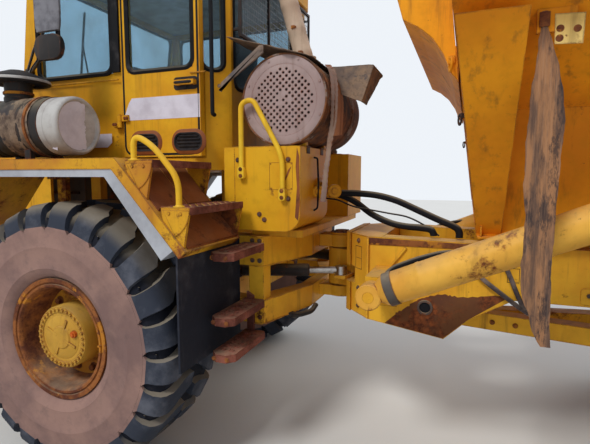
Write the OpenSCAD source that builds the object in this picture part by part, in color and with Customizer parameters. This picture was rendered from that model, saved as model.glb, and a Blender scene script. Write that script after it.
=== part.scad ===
// Articulated dump truck with six driven wheels, hinged behind its cab.
// Front is -X, left is -Y, up is +Z. The origin is on the ground, at mid length and mid width.
// Millimetres throughout.

/* [Overall] */
// Length from the bumper's face to the tail of the load body
total_length = 10200; // [10000:50:10500]
// Front bumper's face to the front axle
front_overhang = 2650; // [2600:10:2750]
// Front axle to the steering pivot
hitch_back = 1350; // [1335:5:1365]
// Front axle to the first rear axle
wheelbase = 4180; // [4150:10:4300]
// Between the two rear axles
bogie_spacing = 1670; // [1650:5:1750]
// Between the left and right tyre centres
track = 2260; // [2240:5:2300]

/* [Wheels] */
// Tyre radius over the lugs
tyre_r = 807; // [790:1:815]
// Tyre width
tyre_w = 597; // [580:1:605]
// Radius over the rim flanges
rim_flange_r = 365; // [355:1:375]
// Radius of the rim's bead seat
rim_seat_r = 318; // [310:1:325]
// Radius of the planetary hub
hub_r = 180; // [165:1:200]
// Radius of the spindle in the hub
spindle_r = 70; // [60:1:80]
// Number of lugs round one side of a tyre
lug_count = 24; // [20:1:32]
// Depth of the tread lugs
lug_depth = 38; // [25:1:45]

/* [Cab] */
// Width of the cab
cab_w = 1700; // [1640:10:1720]
// Front of the cab ahead of the front axle
cab_ahead = 820; // [780:10:840]
// Rear of the cab behind the front axle
cab_behind = 800; // [780:10:820]
// Height of the cab floor above the ground
cab_floor_z = 1860; // [1840:5:1880]
// Height of the window sills
sill_z = 2410; // [2380:5:2450]
// Height of the cab roof's top
cab_top_z = 3330; // [3280:10:3380]
// Thickness of the cab's walls
cab_wall = 45; // [40:1:60]
// Width of the door
door_w = 640; // [600:5:660]

/* [Front unit] */
// Top of the front fenders
fender_z = 1860; // [1850:5:1880]
// Outer width over the fenders
fender_w = 2860; // [2840:10:2880]
// Width of the engine hood
hood_w = 1300; // [1200:10:1360]
// Radius of the round cooler drum
drum_r = 270; // [250:5:280]
// Radius of the air cleaner
cleaner_r = 180; // [160:5:190]
// Radius of the exhaust stack
stack_r = 62; // [50:1:70]

/* [Load body] */
// Width of the load body
body_w = 2800; // [2760:10:2850]
// Plate thickness of the load body
body_plate = 25; // [20:1:40]
// Height of the load body's floor above the ground
body_floor_z = 1430; // [1420:5:1445]
// Height of the load body's top rail
body_rail_z = 2700; // [2660:10:2760]
// Angle of the load body when it is fully raised, for reference in the record
tip_angle = 70; // [60:1:74]

/* [Hoist] */
// Sideways place of the hoist cylinders
hoist_y = 885; // [875:1:890]
// Radius of the hoist barrel
hoist_r = 92; // [80:1:96]
// Height of the hoist's lower pin
hoist_base_z = 1115; // [1105:5:1125]
// Height of the hoist's upper pin
hoist_pin_z = 1970; // [1960:5:1980]

/* [Hidden] */
$fn = 64;

// Clearances
seat_gap = 0.3;      // between pieces that rest on each other
shaft_gap = 0.5;     // round a turning shaft
move_gap = 10;       // between pieces that move past each other

// Places along the truck
front_x = -total_length / 2;
tail_x = total_length / 2;
axle_front_x = front_x + front_overhang;
pivot_x = axle_front_x + hitch_back;
axle_mid_x = axle_front_x + wheelbase;
axle_rear_x = axle_mid_x + bogie_spacing;
bogie_x = (axle_mid_x + axle_rear_x) / 2;
axle_z = tyre_r;
wheel_y = track / 2;

// Paint and finishes
yellow = [0.88, 0.62, 0.11];
yellow_dark = [0.80, 0.48, 0.09];
rust = [0.36, 0.20, 0.14];
rubber = [0.10, 0.10, 0.11];
steel_dark = [0.18, 0.17, 0.17];
grey = [0.62, 0.62, 0.62];
beige = [0.66, 0.58, 0.50];

// Both sides of the truck: the piece at -Y and its mirror image
module both_sides() {
  children();
  mirror([0, 1, 0]) children();
}

// A block between two corners
module block(low, high) {
  translate(low) cube(high - low);
}

// A round bar along Y
module bar_y(r, y0, y1) {
  translate([0, y0, 0]) rotate([-90, 0, 0]) cylinder(r = r, h = y1 - y0);
}

// A round bar along X
module bar_x(r, x0, x1) {
  translate([x0, 0, 0]) rotate([0, 90, 0]) cylinder(r = r, h = x1 - x0);
}

// A plate drawn in X and Z, from y0 to y1
module side_plate(y0, y1) {
  translate([0, y1, 0]) rotate([90, 0, 0]) linear_extrude(height = y1 - y0) children();
}

// A straight round tube between two points
module strut(a, b, r) {
  d = b - a;
  len = norm(d);
  translate(a) rotate([0, acos(d[2] / len), atan2(d[1], d[0])]) cylinder(r = r, h = len, $fn = 24);
}

// A bent tube through a list of points: every other length is a little thicker, like a sleeve over the bend
module bent_tube(points, r) {
  last = len(points) - 2;
  for (i = [0 : last]) {
    d = (points[i + 1] - points[i]) / norm(points[i + 1] - points[i]);
    strut(points[i] - (i > 0 ? 0.6 * r : 0) * d, points[i + 1] + (i < last ? 0.6 * r : 0) * d,
          i % 2 == 0 ? r : 1.08 * r);
  }
}

// Wheels: the tyre and its rim, centred on the origin, outer side at -Y
rim_half = tyre_w / 2 - 42;       // half the width over the flanges
flange_t = 18;                    // thickness of a flange
rim_t = 16;                       // thickness of the rim's barrel
disc_y = -60;                     // face of the wheel disc, from the tyre's middle
hub_face_y = -225;                // face of the planetary hub
hub_back_y = 60;                  // inner end of the hub
spindle_end_y = -120;             // outer end of the spindle in the hub

// One side of the tyre, from the bead to the tread: radius, distance from the middle, depth of the grooves.
// Where there are grooves each lug has three points: its two edges and the bottom of the groove after it
function tyre_side() = [
  [(rim_seat_r + seat_gap) / cos(180 / lug_count), rim_half - flange_t - seat_gap, 0],
  [(rim_flange_r + seat_gap) / cos(180 / lug_count), rim_half - flange_t - seat_gap, 0],
  [tyre_r * 0.64, tyre_w / 2, 0],
  [tyre_r - 130, tyre_w / 2 - 3, 0],
  [tyre_r - 58, tyre_w / 2 - 24, 0.8 * lug_depth],
  [tyre_r, tyre_w / 2 - 95, lug_depth]
];
lug_share = [-0.33, 0.33, 0.5];   // places of a lug's points, as shares of the pitch

function ring_size(row) = row[2] > 0 ? 3 : 1;
function ring_points(row, side) = [
  for (i = [0 : lug_count - 1]) for (k = [0 : ring_size(row) - 1])
    let (turn = (i + (side > 0 ? 0.5 : 0) + (row[2] > 0 ? lug_share[k] - lug_share[1] : -lug_share[1]))
                * 360 / lug_count - 90,
         r = row[0] - (k == 2 ? row[2] : 0))
    [r * cos(turn), side * row[1], r * sin(turn)]
];

// Triangles between two rings that start at a and b, with m and n points for each lug
function ring_faces(a, m, b, n) = [
  for (i = [0 : lug_count - 1])
    let (j = (i + 1) % lug_count)
    each (m == n
      ? [for (k = [0 : m - 1]) each
          let (p = a + i * m + k, q = k < m - 1 ? p + 1 : a + j * m, r = b + i * m + k,
              t = k < m - 1 ? r + 1 : b + j * m)
          [[p, q, t], [p, t, r]]]
      : m == 1
        ? [[a + i, b + 3 * i + 1, b + 3 * i], [a + i, b + 3 * i + 2, b + 3 * i + 1],
           [a + i, a + j, b + 3 * i + 2], [a + j, b + 3 * j, b + 3 * i + 2]]
        : [[b + i, a + 3 * i, a + 3 * i + 1], [b + i, a + 3 * i + 1, a + 3 * i + 2],
           [b + i, a + 3 * i + 2, b + j], [b + j, a + 3 * i + 2, a + 3 * j]])
];
function ring_start(sizes, i) = i == 0 ? 0 : ring_start(sizes, i - 1) + sizes[i - 1] * lug_count;

// Tyre with its lugs: one skin from the left bead over the tread to the right bead and back
module tyre() {
  left = tyre_side();
  last = len(left) - 1;
  rows = concat([for (row = left) [row, -1]], [for (i = [last : -1 : 0]) [left[i], 1]]);
  sizes = [for (row = rows) ring_size(row[0])];
  count = len(rows);
  color(rubber) polyhedron(
    points = [for (row = rows) each ring_points(row[0], row[1])],
    faces = [for (i = [0 : count - 1])
      let (j = (i + 1) % count)
      each ring_faces(ring_start(sizes, i), sizes[i], ring_start(sizes, j), sizes[j])]
  );
}

module rim() {
  hb = rim_half;
  color(yellow) difference() {
    rotate([90, 0, 0]) rotate_extrude() union() {
      // barrel and two flanges
      translate([rim_seat_r - rim_t, -hb]) square([rim_t, 2 * hb]);
      for (s = [-1, 1]) translate([rim_seat_r - rim_t, s > 0 ? hb - flange_t : -hb])
        square([rim_flange_r - rim_seat_r + rim_t, flange_t]);
      // wheel disc and hub; y turns over in the drawing
      translate([0, -disc_y - 40]) square([rim_seat_r, 40]);
      translate([0, -hub_back_y]) square([hub_r, hub_back_y - hub_face_y]);
    }
    bar_y(spindle_r + shaft_gap, spindle_end_y - shaft_gap, hub_back_y + 1);
  }
}

module place_wheel(x, side) {
  translate([x, side * wheel_y, axle_z]) if (side < 0) children(); else mirror([0, 1, 0]) children();
}

// Axles: casing with its differential and the two spindles
axle_flange_y = wheel_y - hub_back_y - move_gap; // outer face of the axle's flange
axle_tube_r = 105;
diff_r = 225;

module axle_casing(x) {
  color(steel_dark) translate([x, 0, axle_z]) {
    bar_y(axle_tube_r, -axle_flange_y, axle_flange_y);
    bar_y(diff_r, -140, 140);
    translate([0, 40, 0]) bar_x(120, -300, 300);
    both_sides() {
      bar_y(170, -axle_flange_y, -axle_flange_y + 60);
      bar_y(spindle_r, -wheel_y + spindle_end_y, -axle_flange_y + 1);
    }
  }
}

// Front frame: two rails, cross members and the forked rear end that holds the steering pin
rail_y = 300;              // inner face of a front rail
rail_t = 110;              // width of a front rail
rail_z0 = 960;             // under side of a front rail
rail_z1 = 1240;            // top of a front rail
front_rail_x = front_x + 300;
tower_x = pivot_x - 700;   // rear face of the tower's cross box
post_x = pivot_x - 400;    // front of the ladder post
post_w = 100;              // width of the ladder post
post_y = 760;              // outer face of the ladder post
beam_top = [1200, 1390];   // upper beam, low and high
beam_low = [830, 980];     // lower beam, low and high
ear_r = 100;               // radius of the fork's ears round the pin
ear_top = [1240, 1330];
ear_low = [870, 950];
pin_r = 45;
fork_x = pivot_x - 150;    // rear of the tower's narrow end

// Plan of one beam from the cross box along to the ladder post and in to the fork, on the left
module beam_plan() {
  polygon([[tower_x, -post_y], [post_x + post_w, -post_y], [fork_x, -250], [fork_x, 0], [fork_x - 90, 0],
           [fork_x - 90, -220], [post_x, -post_y + 130], [tower_x, -post_y + 130]]);
}

module front_frame() {
  color(yellow) difference() {
    union() {
      both_sides() {
        block([front_rail_x, -rail_y - rail_t, rail_z0], [tower_x - 10, -rail_y, rail_z1]);
        // ladder post
        block([post_x, -post_y, beam_low[0]], [post_x + post_w, -post_y + 110, beam_top[1]]);
        // beams of the rear tower
        for (z = [beam_top, beam_low]) translate([0, 0, z[0]]) linear_extrude(height = z[1] - z[0])
            beam_plan();
        // carriers of the cab, standing on the rails
        for (x = [cab_x0 + 120, cab_x1 - 260])
          block([x, -rail_y - 80, rail_z1 - 5], [x + 100, -rail_y - 10, cab_floor_z - 60 - seat_gap]);
        // rests of the hood
        for (x = [hood_x0 + 500, hood_x1 - 300]) {
          block([x, -hood_w / 2, rail_z1 - 70], [x + 70, -rail_y - rail_t + 5, rail_z1]);
          block([x, -hood_w / 2, rail_z1 - 5], [x + 70, -hood_w / 2 + 60, hood_z0 - seat_gap]);
        }
        // clevis plates of the steering barrel
        for (z = [steer_z - base_eye_h / 2 - 30, steer_z + base_eye_h / 2 + 1])
          block([tower_x - 5, -steer_base[1] - 45, z],
                [pivot_x + steer_base[0] + 35, -steer_base[1] + 45, z + 29]);
        translate([pivot_x + steer_base[0], -steer_base[1], steer_z - base_eye_h / 2 - 30])
          cylinder(r = 20, h = base_eye_h + 60);
      }
      // cross members along the rails
      for (x = [front_rail_x, axle_front_x - 620, axle_front_x + 350])
        block([x, -rail_y - 10, rail_z0 + 40], [x + 120, rail_y + 10, rail_z1 - 40]);
      // cross box of the tower
      block([tower_x - 110, -post_y, beam_low[0]], [tower_x, post_y, beam_top[1]]);
      // fork ears
      for (z = [ear_top, ear_low]) {
        translate([pivot_x, 0, z[0]]) cylinder(r = ear_r, h = z[1] - z[0]);
        block([fork_x - 60, -ear_r + 15, z[0]], [pivot_x, ear_r - 15, z[1]]);
      }
      // bearer of the boxes behind the cab
      block([post_x, -post_y + 60, beam_top[1] - 5], [box_x1 - 20, post_y - 60, beam_top[1] + 40]);
    }
    // pin hole in the ears
    translate([pivot_x, 0, ear_low[0] - 10]) cylinder(r = pin_r + seat_gap,
        h = ear_top[1] - ear_low[0] + 20);
  }
  color(steel_dark) {
    translate([pivot_x, 0, ear_low[0] - 10]) cylinder(r = pin_r, h = ear_top[1] - ear_low[0] + 20);
    translate([pivot_x, 0, ear_top[1] + seat_gap]) cylinder(r = pin_r + 40, h = 14);
  }
}

// Front axle with its two mounting pads under the rails
module front_axle() {
  axle_casing(axle_front_x);
  color(steel_dark) both_sides()
    block([axle_front_x - 110, -rail_y - rail_t + 5, axle_z + 60],
        [axle_front_x + 110, -rail_y - 5, rail_z0 - seat_gap]);
}

// Engine: one plain block with its sump, between the front rails
engine_x0 = front_x + 700;
engine_x1 = axle_front_x - cab_ahead - 60;
module engine() {
  color(steel_dark) {
    block([engine_x0, -270, rail_z1 - 180], [engine_x1, 270, rail_z1 + 620]);
    for (s = [-1, 1]) block([engine_x0 + 120, s > 0 ? 265 : -rail_y - rail_t, rail_z1 + seat_gap],
                            [engine_x0 + 260, s > 0 ? rail_y + rail_t : -265, rail_z1 + 80]);
  }
}

// Front bumper with its towing eye
bumper_z = [900, 1200];
tow_r = 26;
tow_x = front_x + 60;
module bumper() {
  color(yellow) difference() {
    union() {
      block([front_x + 100, -1050, bumper_z[0]], [front_rail_x - seat_gap, 1050, bumper_z[1]]);
      block([front_x, -110, bumper_z[0] + 60], [front_x + 110, 110, bumper_z[0] + 140]);
      both_sides() block([front_x + 160, -1300, bumper_z[0] + 40],
          [front_rail_x - 20, -1040, bumper_z[1] - 20]);
      // hinge plates of the hood
      both_sides() block([hood_hinge[0] - 25, -560, bumper_z[1] - 5],
                         [hood_hinge[0] + 40, -520 - shaft_gap, hood_hinge[1] + 22]);
      both_sides() translate([hood_hinge[0], 0, hood_hinge[1]]) bar_y(15, -550, -480);
    }
    translate([tow_x, 0, bumper_z[0]]) cylinder(r = tow_r, h = 200);
  }
}

// Fenders: a flat deck, a slope down behind the wheel that carries two steps, and a slope ahead of it
deck_t = 60;
deck_x1 = axle_front_x + 520;
deck_x0 = axle_front_x - 640;
slope_run = 420;
slope_drop = 470;
step_bottom_z = fender_z - slope_drop;
fender_y = fender_w / 2;
fender_in_y = cab_w / 2 + 5;
bracket_y = wheel_y - tyre_w / 2 - 55;   // inner face of the fender's brackets
module fender_profile() {
  polygon([[deck_x0, fender_z], [deck_x1, fender_z], [deck_x1 + slope_run, step_bottom_z],
           [deck_x1 + slope_run - 40, step_bottom_z - 35], [deck_x1 - 25, fender_z - deck_t],
           [deck_x0 + 25, fender_z - deck_t], [deck_x0 - slope_run + 40, step_bottom_z - 35],
           [deck_x0 - slope_run, step_bottom_z]]);
}

// Height of the slope's surface at x
function slope_z(x) = fender_z - (x - deck_x1) * slope_drop / slope_run;

// Height of the slope's under side at x
function slope_low_z(x) = fender_z - deck_t - (x - deck_x1 + 25) * (slope_drop + 35 - deck_t)
    / (slope_run - 15);

// One step: a tread and two gussets that stand on the slope
module step_tread(x, z, y0, y1) {
  depth = 170;
  color(rust) block([x, y0, z], [x + depth, y1, z + 14]);
  color(yellow) for (y = [y0, y1 - 14])
    side_plate(y, y + 14) polygon([[x, z + 1], [x + depth, z + 1],
        [x + depth - 40, slope_z(x + depth - 40) - 8],
                                   [x + 10, slope_z(x + 10) - 8]]);
}

module fender(with_steps) {
  color(yellow) side_plate(-fender_y, -fender_in_y) fender_profile();
  // brackets to the frame's rail, inside the wheel
  color(yellow) for (x = [deck_x0 + 60, deck_x1 - 200]) {
    block([x, -bracket_y - 40, rail_z1 - 100], [x + 80, -bracket_y, cab_floor_z - 70]);
    block([x, -bracket_y - 40, rail_z1 - 100], [x + 80, -rail_y - rail_t - seat_gap, rail_z1 - 40]);
    block([x, -fender_in_y - 45, fender_z - deck_t - 60], [x + 80, -bracket_y, cab_floor_z - 70]);
    block([x, -fender_in_y - 45, fender_z - deck_t - 60],
        [x + 80, -fender_in_y - 5, fender_z - deck_t + 5]);
  }
  if (with_steps) for (i = [0, 1])
    step_tread(deck_x1 + 60 + i * 215, fender_z - 30 - i * 235, -fender_y + 10, -fender_in_y - 5);
}

// Grey edging under the fenders' outer edge
lip_w = 120;
lip_drop = 40;             // depth of the edging below the fender
lip_end = slope_run - 75;  // reach of the edging past the deck
function lip_top_z(run) = slope_low_z(deck_x1 + run) - seat_gap;
module lip_half(x, s) {
  polygon([[axle_front_x - 60, fender_z - deck_t - seat_gap], [x - 25 * s, fender_z - deck_t - seat_gap],
           [x + lip_end * s, lip_top_z(lip_end)], [x + (lip_end - 75) * s, lip_top_z(lip_end) - 55],
           [x - 75 * s, fender_z - deck_t - lip_drop], [axle_front_x - 60, fender_z - deck_t - lip_drop]]);
}
module fender_lips() {
  color(grey) both_sides() side_plate(-fender_y + 5, -fender_y + 5 + lip_w) {
    lip_half(deck_x1, 1);
    lip_half(deck_x0, -1);
  }
}

// Rubber flaps behind the front wheels, hung under the steps
flap_x = deck_x1 + slope_run - 65;
flap_t = 12;
module front_flaps() {
  color(rubber) both_sides()
    block([flap_x, -fender_y + 10, 750], [flap_x + flap_t, -post_y - 5,
        slope_low_z(flap_x + flap_t) - seat_gap]);
}

// Cab: floor, walls and pillars of one welded shell, hollow, with its windows cut
cab_x0 = axle_front_x - cab_ahead;
cab_x1 = axle_front_x + cab_behind;
cab_y = cab_w / 2;
door_x1 = cab_x1 - 80;
door_x0 = door_x1 - door_w;
pillar = 70;
window_z1 = cab_top_z - 170;
roof_z0 = cab_top_z - 110;
roof_rake = 110;             // the windscreen leans back by this much
sill_rake = roof_rake * (sill_z - cab_floor_z) / (roof_z0 - cab_floor_z);
corner_cut = 170;            // slant of the rear corners in plan

// Hinges of the door: heights of the two, and their axis
hinge_zs = [2080, 2960];
door_axis = [door_x0 - 5, -cab_y - 30];
module door_knuckle(z0, z1) {
  translate([door_axis[0], door_axis[1], z0]) cylinder(r = 14, h = z1 - z0);
}

module cab_plan(inset) {
  x0 = cab_x0 + inset;
  x1 = cab_x1 - inset;
  y = cab_y - inset;
  c = corner_cut;
  polygon([[x0, -y], [x1 - c, -y], [x1, -y + c], [x1, y - c], [x1 - c, y], [x0, y]]);
}

// Wedge ahead of the raked windscreen
module rake_cut(extra) {
  side_plate(-cab_y - 10, cab_y + 10)
    polygon([[cab_x0 - 50, sill_z], [cab_x0 + extra, sill_z], [cab_x0 + roof_rake + extra, roof_z0 + 1],
        [cab_x0 - 50, roof_z0 + 1]]);
}

module cab_body() {
  h = roof_z0 - cab_floor_z;
  color(yellow) difference() {
    translate([0, 0, cab_floor_z - 60]) linear_extrude(height = h + 60) cab_plan(0);
    difference() {
      translate([0, 0, cab_floor_z]) linear_extrude(height = h + 1) cab_plan(cab_wall);
      rake_cut(cab_wall);
    }
    rake_cut(0);
    // windscreen and rear window
    block([cab_x0 - 10, -cab_y + pillar, sill_z + 30],
        [cab_x0 + roof_rake + cab_wall + 5, cab_y - pillar, window_z1]);
    block([cab_x1 - cab_wall - 5, -cab_y + corner_cut + 40, sill_z - 80],
        [cab_x1 + 5, cab_y - corner_cut - 40, window_z1]);
    // slanting rear corner windows
    both_sides() translate([cab_x1 - corner_cut / 2, -cab_y + corner_cut / 2, sill_z + 20])
        rotate([0, 0, 45])
      block([-65, -80, 0], [65, 80, window_z1 - sill_z - 20]);
    // side windows ahead of the door
    both_sides() block([cab_x0 + roof_rake + pillar, -cab_y - 10, sill_z + 30],
        [door_x0 - pillar, -cab_y + cab_wall + 5, window_z1]);
    // door opening on the left, window on the right
    block([door_x0, -cab_y - 10, cab_floor_z + 20], [door_x1 - 30, -cab_y + cab_wall + 5, window_z1 + 30]);
    mirror([0, 1, 0]) block([door_x0, -cab_y - 10, sill_z + 30],
        [door_x1 - 60, -cab_y + cab_wall + 5, window_z1]);
  }
  // door hinges
  color(steel_dark) for (z = hinge_zs) {
    door_knuckle(z, z + 40);
    block([door_axis[0] - 50, -cab_y - 28, z], [door_axis[0] - 1, -cab_y + 2, z + 40]);
    translate([door_axis[0], door_axis[1], z]) cylinder(r = 8, h = 85);
  }
}

module cab_roof() {
  color(yellow) translate([0, 0, roof_z0 + seat_gap]) difference() {
    linear_extrude(height = cab_top_z - roof_z0 - seat_gap) difference() {
      offset(delta = 30) cab_plan(0);
      translate([cab_x0 - 60, -cab_y - 60]) square([roof_rake + 20, cab_w + 120]);
    }
    translate([0, 0, -1]) linear_extrude(height = 60) intersection() {
      cab_plan(cab_wall + 40);
      translate([cab_x0 + roof_rake + 60, -cab_y]) square([cab_ahead + cab_behind, cab_w]);
    }
  }
}

glass_t = 8;
module cab_glass() {
  g = seat_gap;
  mid = cab_wall / 2 - glass_t / 2;
  color([0.6, 0.8, 0.9, 0.4]) {
    // windscreen, sheared to the rake by its drawing
    side_plate(-cab_y + pillar + g, cab_y - pillar - g) polygon([
      for (p = [[mid, sill_z + 30 + g], [mid + glass_t, sill_z + 30 + g],
          [mid + glass_t, window_z1 - g], [mid, window_z1 - g]])
        [cab_x0 + p[0] + roof_rake * (p[1] - sill_z) / (roof_z0 - sill_z), p[1]]]);
    block([cab_x1 - mid - glass_t, -cab_y + corner_cut + 40 + g, sill_z - 80 + g],
        [cab_x1 - mid, cab_y - corner_cut - 40 - g, window_z1 - g]);
    both_sides() block([cab_x0 + roof_rake + pillar + g, -cab_y + mid, sill_z + 30 + g],
                       [door_x0 - pillar - g, -cab_y + mid + glass_t, window_z1 - g]);
    both_sides() translate([cab_x1 - corner_cut / 2, -cab_y + corner_cut / 2, sill_z + 20 + g])
        rotate([0, 0, 45])
      block([-65 + g, mid, 0], [65 - g, mid + glass_t, window_z1 - sill_z - 20 - 2 * g]);
    mirror([0, 1, 0]) block([door_x0 + g, -cab_y + mid, sill_z + 30 + g],
        [door_x1 - 60 - g, -cab_y + mid + glass_t, window_z1 - g]);
  }
}

module driver_seat() {
  x = axle_front_x + 260;
  z = cab_floor_z + seat_gap;
  color(steel_dark) {
    block([x - 180, -190, z], [x + 180, 190, z + 300]);
    block([x - 250, -250, z + 290], [x + 250, 250, z + 430]);
    translate([x + 180, 0, z + 400]) rotate([0, 10, 0]) block([0, -240, 0], [110, 240, 620]);
  }
}

module dash_console() {
  z = cab_floor_z + seat_gap;
  x = cab_x0 + cab_wall + 20;
  color(steel_dark) {
    side_plate(-560, 560) polygon([[x, z], [x + 180, z], [x + 300, z + 560], [x + 260, z + 640],
        [x, z + 620]]);
    strut([x + 240, 0, z + 500], [x + 420, 0, z + 700], 24);
    translate([x + 420, 0, z + 700]) rotate([0, 42, 0]) rotate_extrude($fn = 48) translate([200, 0])
        circle(r = 16, $fn = 20);
    translate([x + 420, 0, z + 700]) rotate([0, 42, 0]) block([-18, -200, -8], [18, 200, 8]);
  }
}

// Air cleaner on the left fender, with its rain cap
cleaner_y = -1150;
cleaner_z = fender_z + 27 + cleaner_r;
cleaner_x1 = axle_front_x + 10;
cleaner_x0 = cleaner_x1 - 800;
module air_cleaner() {
  color(steel_dark) translate([0, cleaner_y, cleaner_z]) {
    bar_x(cleaner_r, cleaner_x0, cleaner_x1 - 150);
    bar_x(cleaner_r + 10, cleaner_x1 - 260, cleaner_x1 - 240);
    for (x = [cleaner_x0 + 120, cleaner_x1 - 320])
      block([x, -120, fender_z + seat_gap - cleaner_z], [x + 50, 120, -60]);
    translate([cleaner_x1 - 500, 0, cleaner_r - 20]) cylinder(r = 85, h = 130);
  }
  color(beige) translate([0, cleaner_y, cleaner_z]) bar_x(cleaner_r - 4, cleaner_x1 - 151, cleaner_x1);
  color(steel_dark) translate([cleaner_x1 - 500, cleaner_y, cleaner_z + cleaner_r + 100]) {
    cylinder(r1 = 185, r2 = 190, h = 25);
    translate([0, 0, 24]) cylinder(r1 = 190, r2 = 60, h = 60);
  }
}

// Yellow box behind the cab on the left, and the fuel tank on the right
box_x0 = cab_x1 + 5;
box_x1 = pivot_x - 40;
box_z = [beam_top[1] + 40 + seat_gap, 1940];
module side_boxes() {
  color(yellow) {
    side_plate(-800, -250) difference() {
      translate([box_x0, box_z[0]]) square([box_x1 - box_x0, box_z[1] - box_z[0]]);
      difference() {
        translate([box_x1 - 110, box_z[0] - 1]) square([120, 111]);
        translate([box_x1 - 110, box_z[0] + 110]) circle(r = 110);
      }
    }
    side_plate(330, 800) translate([box_x0, box_z[0]]) square([box_x1 - box_x0, box_z[1] - box_z[0]]);
  }
}

// Round cooler drum behind the cab: a shell, its perforated face plate is a piece of its own
drum_x = pivot_x - 156;
drum_z = box_z[1] + drum_r + seat_gap;
drum_y = [-780, 60];
module cooler_drum() {
  color(rust) difference() {
    union() {
      translate([drum_x, 0, drum_z]) bar_y(drum_r, drum_y[0], drum_y[1]);
      for (y = [drum_y[0] + 90, -320]) block([drum_x - 110, y, box_z[1] + seat_gap],
          [drum_x + 110, y + 50, drum_z - 200]);
    }
    translate([drum_x, 0, drum_z]) bar_y(drum_r - 8, drum_y[0] - 1, drum_y[0] + 300);
  }
}

module cooler_grille() {
  color(beige) translate([drum_x, drum_y[0] + 6, drum_z]) bar_y(drum_r - 8 - seat_gap, 0, 10);
}

// Bent sheet that lies on the drum, with a narrower bent flap behind and a strut at its outer edge
cover_tilt = 16;
cover_t = 8;
function cover_z(x) = drum_z + (drum_r + seat_gap) / cos(cover_tilt) - (x - drum_x) * tan(cover_tilt);
module drum_cover() {
  x0 = cab_x1 + 30;
  x1 = drum_x + 180;
  x2 = pivot_x + 325;
  color(rust) difference() {
    union() {
      side_plate(-820, 100) polygon([[x0, cover_z(x0)], [x1, cover_z(x1)], [x1, cover_z(x1) + cover_t],
          [x0, cover_z(x0) + cover_t]]);
      side_plate(-510, -190) polygon([[x1 - 20, cover_z(x1 - 20)], [x1, cover_z(x1)],
          [x2 - 8, cover_z(x1) + 20],
        [x2 - 75, cover_z(x1) - 190], [x2 - 67, cover_z(x1) - 193], [x2, cover_z(x1) + 28],
            [x1, cover_z(x1) + cover_t],
        [x1 - 20, cover_z(x1 - 20) + cover_t]]);
    }
    translate([drum_x - 8, stack_y, drum_z + drum_r - 50]) cylinder(r = stack_r + 22, h = 150);
  }
  color(rust) {
    side_plate(-812, -796) polygon([[x0 + 60, cover_z(x0 + 60) + 1], [x0 + 100, cover_z(x0 + 100) + 1],
      [x0 + 30, box_z[1] + 360], [x0 - 15, box_z[1] + 360]]);
    block([x0 - 30 + seat_gap, -812, box_z[1] + 360], [x0 + 32, -796, box_z[1] + 400]);
  }
}

// Exhaust stack, leaning forward behind the cab
stack_y = -360;
module exhaust_stack() {
  z0 = drum_z + drum_r;
  color(beige) {
    translate([drum_x, stack_y, z0 + seat_gap]) cylinder(r = stack_r + 6, h = 70);
    strut([drum_x, stack_y, z0 + 40], [drum_x - 140, stack_y, 2960], stack_r);
    strut([drum_x - 136, stack_y, 2945], [drum_x - 150, stack_y, cab_top_z - 50], stack_r + 8);
  }
}

// Mesh guard behind the rear window: a frame of bars with upright wires
guard_x = cab_x1 + 40;
guard_z = [sill_z + 230, cab_top_z - 150];
module window_guard() {
  y1 = cab_y - corner_cut - 20;
  color(steel_dark) {
    for (y = [-y1, -y1 / 3, y1 / 3, y1 - 20]) block([guard_x, y, guard_z[0]],
        [guard_x + 20, y + 20, guard_z[1]]);
    for (z = [guard_z[0], guard_z[1] - 20]) block([guard_x, -y1, z], [guard_x + 20, y1, z + 20]);
    for (z = [guard_z[0] + 40, guard_z[1] - 60]) both_sides()
        block([cab_x1 + seat_gap, -y1 + 2, z], [guard_x + 2, -y1 + 18, z + 16]);
  }
}

// Ladder: three rusty treads held out from the ladder post
tread_zs = [1305, 945, 740];
module ladder_steps() {
  x0 = post_x - 30;
  color(rust) {
    for (z = tread_zs) block([x0, -fender_y + 230, z], [x0 + 145, -post_y - seat_gap, z + 45]);
    block([x0 + 20, -post_y - 20, tread_zs[2] + 40], [x0 + 70, -post_y - seat_gap, beam_low[0] + 60]);
  }
}

// Yellow hand rails: one on the stairs, one at the box behind the cab
rail_r = 16;
module grab_rails() {
  y1 = -fender_y + 45;
  y2 = -800 - rail_r * 1.08 - seat_gap;
  color([0.95, 0.72, 0.15]) {
    bent_tube([[deck_x1 + 90, y1, fender_z - 16 + seat_gap], [deck_x1 + 90, y1, fender_z + 120],
               [deck_x1 + 210, y1, fender_z + 60], [deck_x1 + slope_run - 60, y1, fender_z - 110],
               [deck_x1 + slope_run - 60, y1, fender_z - 251 + seat_gap]], rail_r);
    bent_tube([[box_x0 + 130, y2, box_z[0] + 330], [box_x0 + 130, y2, box_z[1] + 260],
        [box_x0 + 210, y2, box_z[1] + 280],
               [box_x0 + 400, y2, box_z[1] - 60], [box_x0 + 400, y2, box_z[0] + 200]], rail_r);
  }
}

// Mirrors on tubular arms, one on each side
mirror_x = axle_front_x - 190;
mirror_y = -1130;
module mirrors() {
  color(steel_dark) both_sides() {
    block([cab_x0 + 50, -cab_y - 22, sill_z + 45], [cab_x0 + 120, -cab_y - seat_gap, sill_z + 115]);
    bent_tube([[cab_x0 + 85, -cab_y - 16, sill_z + 80], [mirror_x - 120, mirror_y, sill_z + 85],
               [mirror_x, mirror_y, sill_z + 95], [mirror_x + 40, mirror_y, sill_z + 150],
               [mirror_x + 40, mirror_y, 3080]], 14);
    block([mirror_x - 110, mirror_y - 45, 2640], [mirror_x + 100, mirror_y - 14, 3060]);
    block([mirror_x - 110, mirror_y - 50, 2470], [mirror_x + 110, mirror_y - 10, 2620]);
  }
}

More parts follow.
